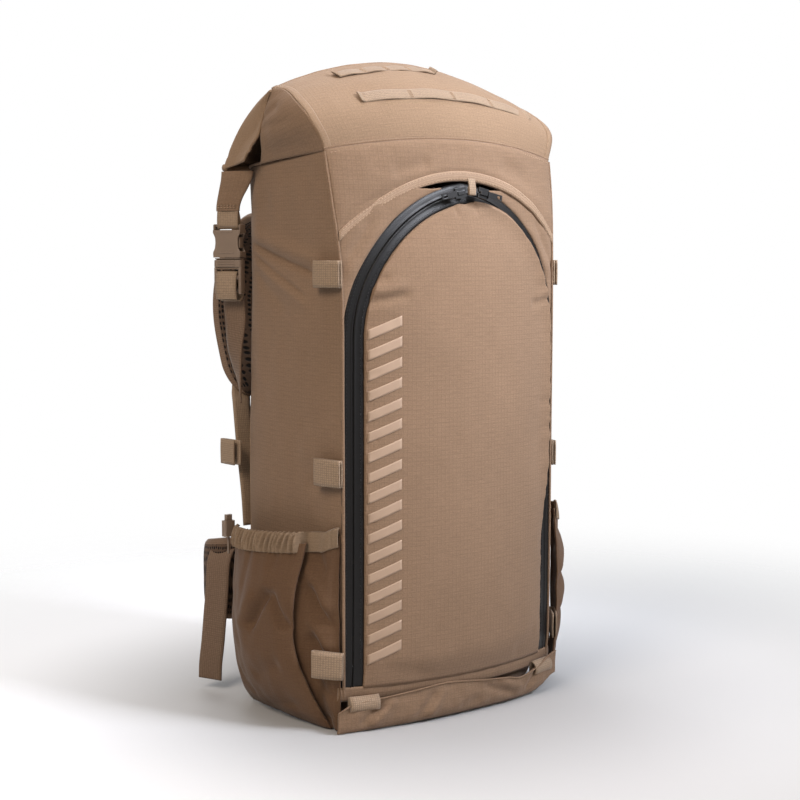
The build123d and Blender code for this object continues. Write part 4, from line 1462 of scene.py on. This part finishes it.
def roundedLine(cx, cz, halfX, halfZ, round_):
    # the outline of a rounded rectangle as a closed line
    def at(w, y):
        turn = 2 * math.pi * w
        c, s = math.cos(turn), math.sin(turn)
        reach = min(halfX / max(abs(c), 1e-6), halfZ / max(abs(s), 1e-6))
        x, z = c * reach, s * reach
        dx, dz = max(0.0, abs(x) - (halfX - round_)), max(0.0, abs(z) - (halfZ - round_))
        if dx and dz:
            scale = round_ / math.hypot(dx, dz)
            x = math.copysign(halfX - round_ + dx * scale, x)
            z = math.copysign(halfZ - round_ + dz * scale, z)
        return (cx + x, y, cz + z)
    return at


def padSweep(bm, centre, across, halfWidth, thick, rows=120, cols=48, ends=(0.06, 0.06), edge=0.10):
    # a padded strap: cloth on one face (0), mesh on the other (1) and binding round its edge (2)
    def place(u, w):
        a, b = Vector(centre(max(0.0, w - 0.004))), Vector(centre(min(1.0, w + 0.004)))
        way = (b - a).normalized()
        wide = Vector(across(w))
        wide = (wide - way * wide.dot(way)).normalized()
        normal = way.cross(wide)
        turn = 2 * math.pi * u
        s, t = math.cos(turn), math.sin(turn)
        s = math.copysign(abs(s) ** 0.62, s)
        t = math.copysign(abs(t) ** 0.62, t)
        tip = 1.0
        if ends[0] and w < ends[0]:
            tip = math.sqrt(max(0.0, 1 - (1 - w / ends[0]) ** 2))
        if ends[1] and w > 1 - ends[1]:
            tip = math.sqrt(max(0.0, 1 - (1 - (1 - w) / ends[1]) ** 2))
        bound = 1 - 0.42 * math.exp(-((1 - abs(s)) / 0.07) ** 2)
        depth = thick(w) / 2 * bound * (0.25 + 0.75 * tip) * (1 + 0.05 * wrinkle(w * 300, s * 30, 22, 1.5))
        rounded = tip ** 0.3 if tip else 0
        return Vector(centre(w)) + wide * halfWidth(w) * s * tip + normal * depth * t * rounded
    made = clothGrid(bm, cols, rows, place, lambda u, w: (110 * u, 250 * w))
    for face in {f for v in made for f in v.link_faces}:
        us = [loop[bm.loops.layers.uv.active].uv.x * 1000 / 110 for loop in face.loops]
        u = sum(us) / len(us)
        s = math.cos(2 * math.pi * u)
        s = math.copysign(abs(s) ** 0.62, s)
        face.material_index = 2 if abs(s) > 1 - edge * 1.2 else (0 if u < 0.5 else 1)
    bmesh.ops.remove_doubles(bm, verts=made, dist=0.00003)
    bmesh.ops.recalc_face_normals(bm, faces=bm.faces)


strapPath = [(0, (-72, 88.5, 466)), (1, (-70, 101, 479)), (2, (-71, 118, 482)), (3, (-74, 139, 470)),
             (4, (-79, 153, 446)), (5, (-85, 157.5, 414)), (6, (-91, 150.5, 380)), (7, (-95, 132.5, 341)),
             (8, (-98, 109, 300))]


def makeShoulders():
    for name, side in (("left", -1), ("right", 1)):
        bm = bmesh.new()
        padSweep(bm, lambda w: through(strapPath, 8 * w), lambda w: (1, 0, 0.0), lambda w: 30 - 2 * w,
                 lambda w: mix(8.5, 11.5, soft(w / 0.3)), ends=(0, 0.10))
        toSide(bm, side)
        bmesh.ops.recalc_face_normals(bm, faces=bm.faces)
        piece = keepPiece(bm, "shoulderStrap" + name.capitalize(), [meshBrown, packNylon, webbingBrown], None,
                          ["shoulder_strap_" + name])
        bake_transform(piece)
        # webbing down the middle of the strap, and the strap that hangs from its end
        bm = bmesh.new()
        outer = [through(strapPath, k) for k in (2.4, 3.2, 4, 5, 6, 7, 7.75)]
        line = []
        for i, p in enumerate(outer):
            a, b = Vector(outer[max(i - 1, 0)]), Vector(outer[min(i + 1, len(outer) - 1)])
            out = (b - a).normalized().cross(Vector((1, 0, 0)))
            out = out if out.y > 0 else -out
            line.append(Vector(p) + out * 6.6)
        strap(bm, line, 25.0, (1, 0, 0), rows=60)
        hang = [(-103, 125, 322), (-109, 117, 306), (-114, 108, 291), (-116, 99, 250), (-116, 91, 205),
                (-116, 87.5, 172)]
        strap(bm, hang, 20.0, (1, 0, 0), rows=50)
        toSide(bm, side)
        faceOut(bm, (0, 1, 0))
        keepPiece(bm, "strapWebbing" + name.capitalize(), webbingTan, "shoulder_" + name,
                  ["strap_webbing_" + name], [wall(1.4)])


sternumSet = {"depth": 163.5, "height": 404.0, "inner": {"left": 52.5, "right": 38.6}}


def makeSternum():
    for name, side in (("left", -1), ("right", 1)):
        bm = bmesh.new()
        inner = sternumSet["inner"][name]
        y, z = sternumSet["depth"], sternumSet["height"]
        ring = [(side * x, y + out, z)
                for x, out in ((102, 2.6), (100, 4.2), (84, 4.6), (66, 4.0), (inner, 3.6))]
        strap(bm, ring, 19.0, (0, 0, 1), rows=40)
        loop = [(side * x, y + out, z) for x, out in ((100, 0.4), (84, 0.7), (68, 0.6))]
        strap(bm, loop, 22.0, (0, 0, 1), rows=20)
        bm.normal_update()
        bmesh.ops.recalc_face_normals(bm, faces=bm.faces)
        keepPiece(bm, "sternumStrap" + name.capitalize(), webbingTan, "sternum_" + name,
                  ["sternum_strap_" + name], [wall(1.4, 0.0)])


hipPath = [(0, (-93, 104.8)), (1, (-106, 105.2)), (2, (-122, 107.2)), (3, (-134.5, 114)), (4, (-139.5, 127)),
           (5, (-132, 142.5)), (6, (-112, 149.5)), (7, (-76, 152.5))]


hipSet = {
    "inner": {"left": 57.0, "right": 40.6},
    "tail": [(127, 115, 148), (137, 111, 143), (142.6, 109, 130), (144.6, 108.6, 106), (146, 110.6, 80),
             (147.2, 113.6, 50), (148.4, 116.4, 28), (148, 118.4, 11)],
    "tailTurn": 125,
}


def makeHips():
    for name, side in (("left", -1), ("right", 1)):
        bm = bmesh.new()

        def centre(w):
            x, y = through(hipPath, 7 * w)
            return (x, y, mix(114, 116, soft(w)))
        padSweep(bm, centre, lambda w: (0, 0, 1), lambda w: mix(42, 33, soft((w - 0.35) / 0.6)),
                 lambda w: mix(10, 12, soft(w / 0.2)), ends=(0, 0.12))
        toSide(bm, side)
        bmesh.ops.recalc_face_normals(bm, faces=bm.faces)
        piece = keepPiece(bm, "hipWing" + name.capitalize(), [meshBrown, meshBrown, webbingBrown], None,
                          ["hip_wing_" + name])
        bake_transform(piece)
        bm = bmesh.new()
        inner = hipSet["inner"][name]
        outer = [(side * x, y, z) for x, y, z in ((118, 154.0, 115), (104, 158.6, 115), (84, 160.4, 115),
                                                  (66, 157, 114), (inner, 153.8, 114))]
        strap(bm, outer, 38.0, (0, 0, 1), rows=44)
        turn = math.radians(hipSet["tailTurn"])
        strap(bm, [(side * x, y, z) for x, y, z in hipSet["tail"]], 25.0,
              (-side * math.cos(turn), math.sin(turn), 0.0), rows=60)
        bmesh.ops.recalc_face_normals(bm, faces=bm.faces)
        keepPiece(bm, "hipWebbing" + name.capitalize(), webbingBrown, "hip_" + name,
                  ["hip_webbing_" + name], [wall(1.5, 0.0)])


haulSet = {"span": 92.0, "foot": 86.2, "reach": 31.5, "height": 508.5, "wide": 25.0, "narrow": 15.0}


def makeHaul():
    bm = bmesh.new()

    def place(u, w):
        s = 2 * u - 1
        rise = max(0.0, math.sin(math.pi * w))
        grip = soft((rise - 0.5) / 0.5)
        y = haulSet["foot"] + haulSet["reach"] * rise ** 0.9 + 2.4 * (1 - s * s) * grip
        half = mix(haulSet["wide"], haulSet["narrow"], grip) / 2
        return (-haulSet["span"] / 2 * math.cos(math.pi * w), y, haulSet["height"] + half * s)
    clothGrid(bm, 10, 80, place, lambda u, w: (25 * u, 140 * w))
    faceOut(bm, (0, 1, 0))
    piece = keepPiece(bm, "haulLoop", webbingBrown, None, ["haul_loop"], [wall(1.8)])
    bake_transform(piece)


carriedOver = {
    "acetalBrown": ["sternum_socket", "sternum_plug", "hip_socket", "hip_plug", "cord_locks",
                    "cord_button_left", "cord_button_right"],
    "castZincBlack": ["zip_slider_left", "zip_slider_right", "zip_pull_left", "zip_pull_right"],
}


def paintCadNodes():
    # moulded and cast parts keep their modelled shape, with their edges eased and a finish
    finishes = {"acetalBrown": acetalBrown, "castZincBlack": sliderPaint}
    for label, nodes in carriedOver.items():
        for name in nodes:
            node = frame["nodes"][name]
            node.material_slots[0].material = finishes[label]
            weld = node.modifiers.new("weld", "WELD")
            weld.merge_threshold = 0.00003
            bevel = node.modifiers.new("ease", "BEVEL")
            bevel.width, bevel.segments, bevel.limit_method = 0.0004, 2, "ANGLE"
            bevel.angle_limit = math.radians(35)
    for name, material in (("frame_sheet", sheetBlack), ("frame_stays", stayAlloy)):
        frame["nodes"][name].material_slots[0].material = material
    bm = bmesh.new()

    def sleeve(u, w):
        x, z = mix(-95, 95, u), mix(120, 420, w)
        return (x, 71.4 - 0.8 * wrinkle(x, z, 30, 2.0) * w, z)
    clothGrid(bm, 50, 70, sleeve, lambda u, w: (190 * u, 300 * w))
    faceOut(bm, (0, -1, 0))
    piece = keepPiece(bm, "bladderSleeve", liningNylon, "pack", ["bladder_sleeve"], [wall(1.2)])
    sewnSheet(sleeve)


def makeFloor():
    bm = bmesh.new()
    bmesh.ops.create_grid(bm, x_segments=1, y_segments=1, size=1.2)
    data = bpy.data.meshes.new("floor")
    bm.to_mesh(data)
    bm.free()
    floor = bpy.data.objects.new("floor", data)
    bpy.context.collection.objects.link(floor)
    material, tree, shader = newMaterial("studioFloor", {"Roughness": 0.75, "Specular IOR Level": 0.15})
    place = addNode(tree, "TexCoord").outputs["Object"]
    cloud = addNode(tree, "TexNoise", {"Scale": 3.0}, {"Vector": place})
    tone = addNode(tree, "MapRange", {"To Min": 0.97, "To Max": 1.0}, {"Value": cloud.outputs["Fac"]})
    reach = addNode(tree, "VectorMath", {"operation": "LENGTH"}, {0: place})
    # painted shadow: the floor's colour darkens towards the bag, to 0.55 of its tone within 0.12 m, gone by
    # 0.46 m
    paintedShadow = addNode(tree, "MapRange", {"interpolation_type": "SMOOTHSTEP", "From Min": 0.12, "From Max": 0.46,
                                       "To Min": 0.55, "To Max": 1.0}, {"Value": reach.outputs["Value"]})
    shade = addNode(tree, "Math", {"operation": "MULTIPLY"}, {0: tone.outputs[0], 1: paintedShadow.outputs[0]})
    tinted = addNode(tree, "VectorMath", {"operation": "SCALE", 0: linear("#f2f2f2")[:3]},
                     {"Scale": shade.outputs[0]})
    tree.links.new(tinted.outputs[0], shader.inputs["Base Color"])
    fade = addNode(tree, "MapRange", {"interpolation_type": "SMOOTHSTEP", "From Min": 0.32, "From Max": 1.1,
                                      "To Min": 1.0, "To Max": 0.0}, {"Value": reach.outputs["Value"]})
    tree.links.new(fade.outputs[0], shader.inputs["Alpha"])
    data.materials.append(material)


for label, makers in (
        ("front", (makeDoor, makeGraphic, makeBorder, makeHood, makeBinding, makeZip, makeWelts,
                   makeFrontStitching)),
        ("shell", (makeSides, makeBase, makeApron, makeBack)),
        ("roll top", (makeTop, makeGussets, makeFlap, makeLash)),
        ("roll buckles", (makeRollBuckles, makeRollStraps, makeAnchorStraps)),
        ("pockets and tabs", (makePockets, makeTabs)),
        ("harness", (makePads, makeShoulders, makeSternum, makeHips, makeHaul)),
        ("carried over parts", (paintCadNodes, makeFloor))):
    for make in makers:
        make()
    print(label, "made")
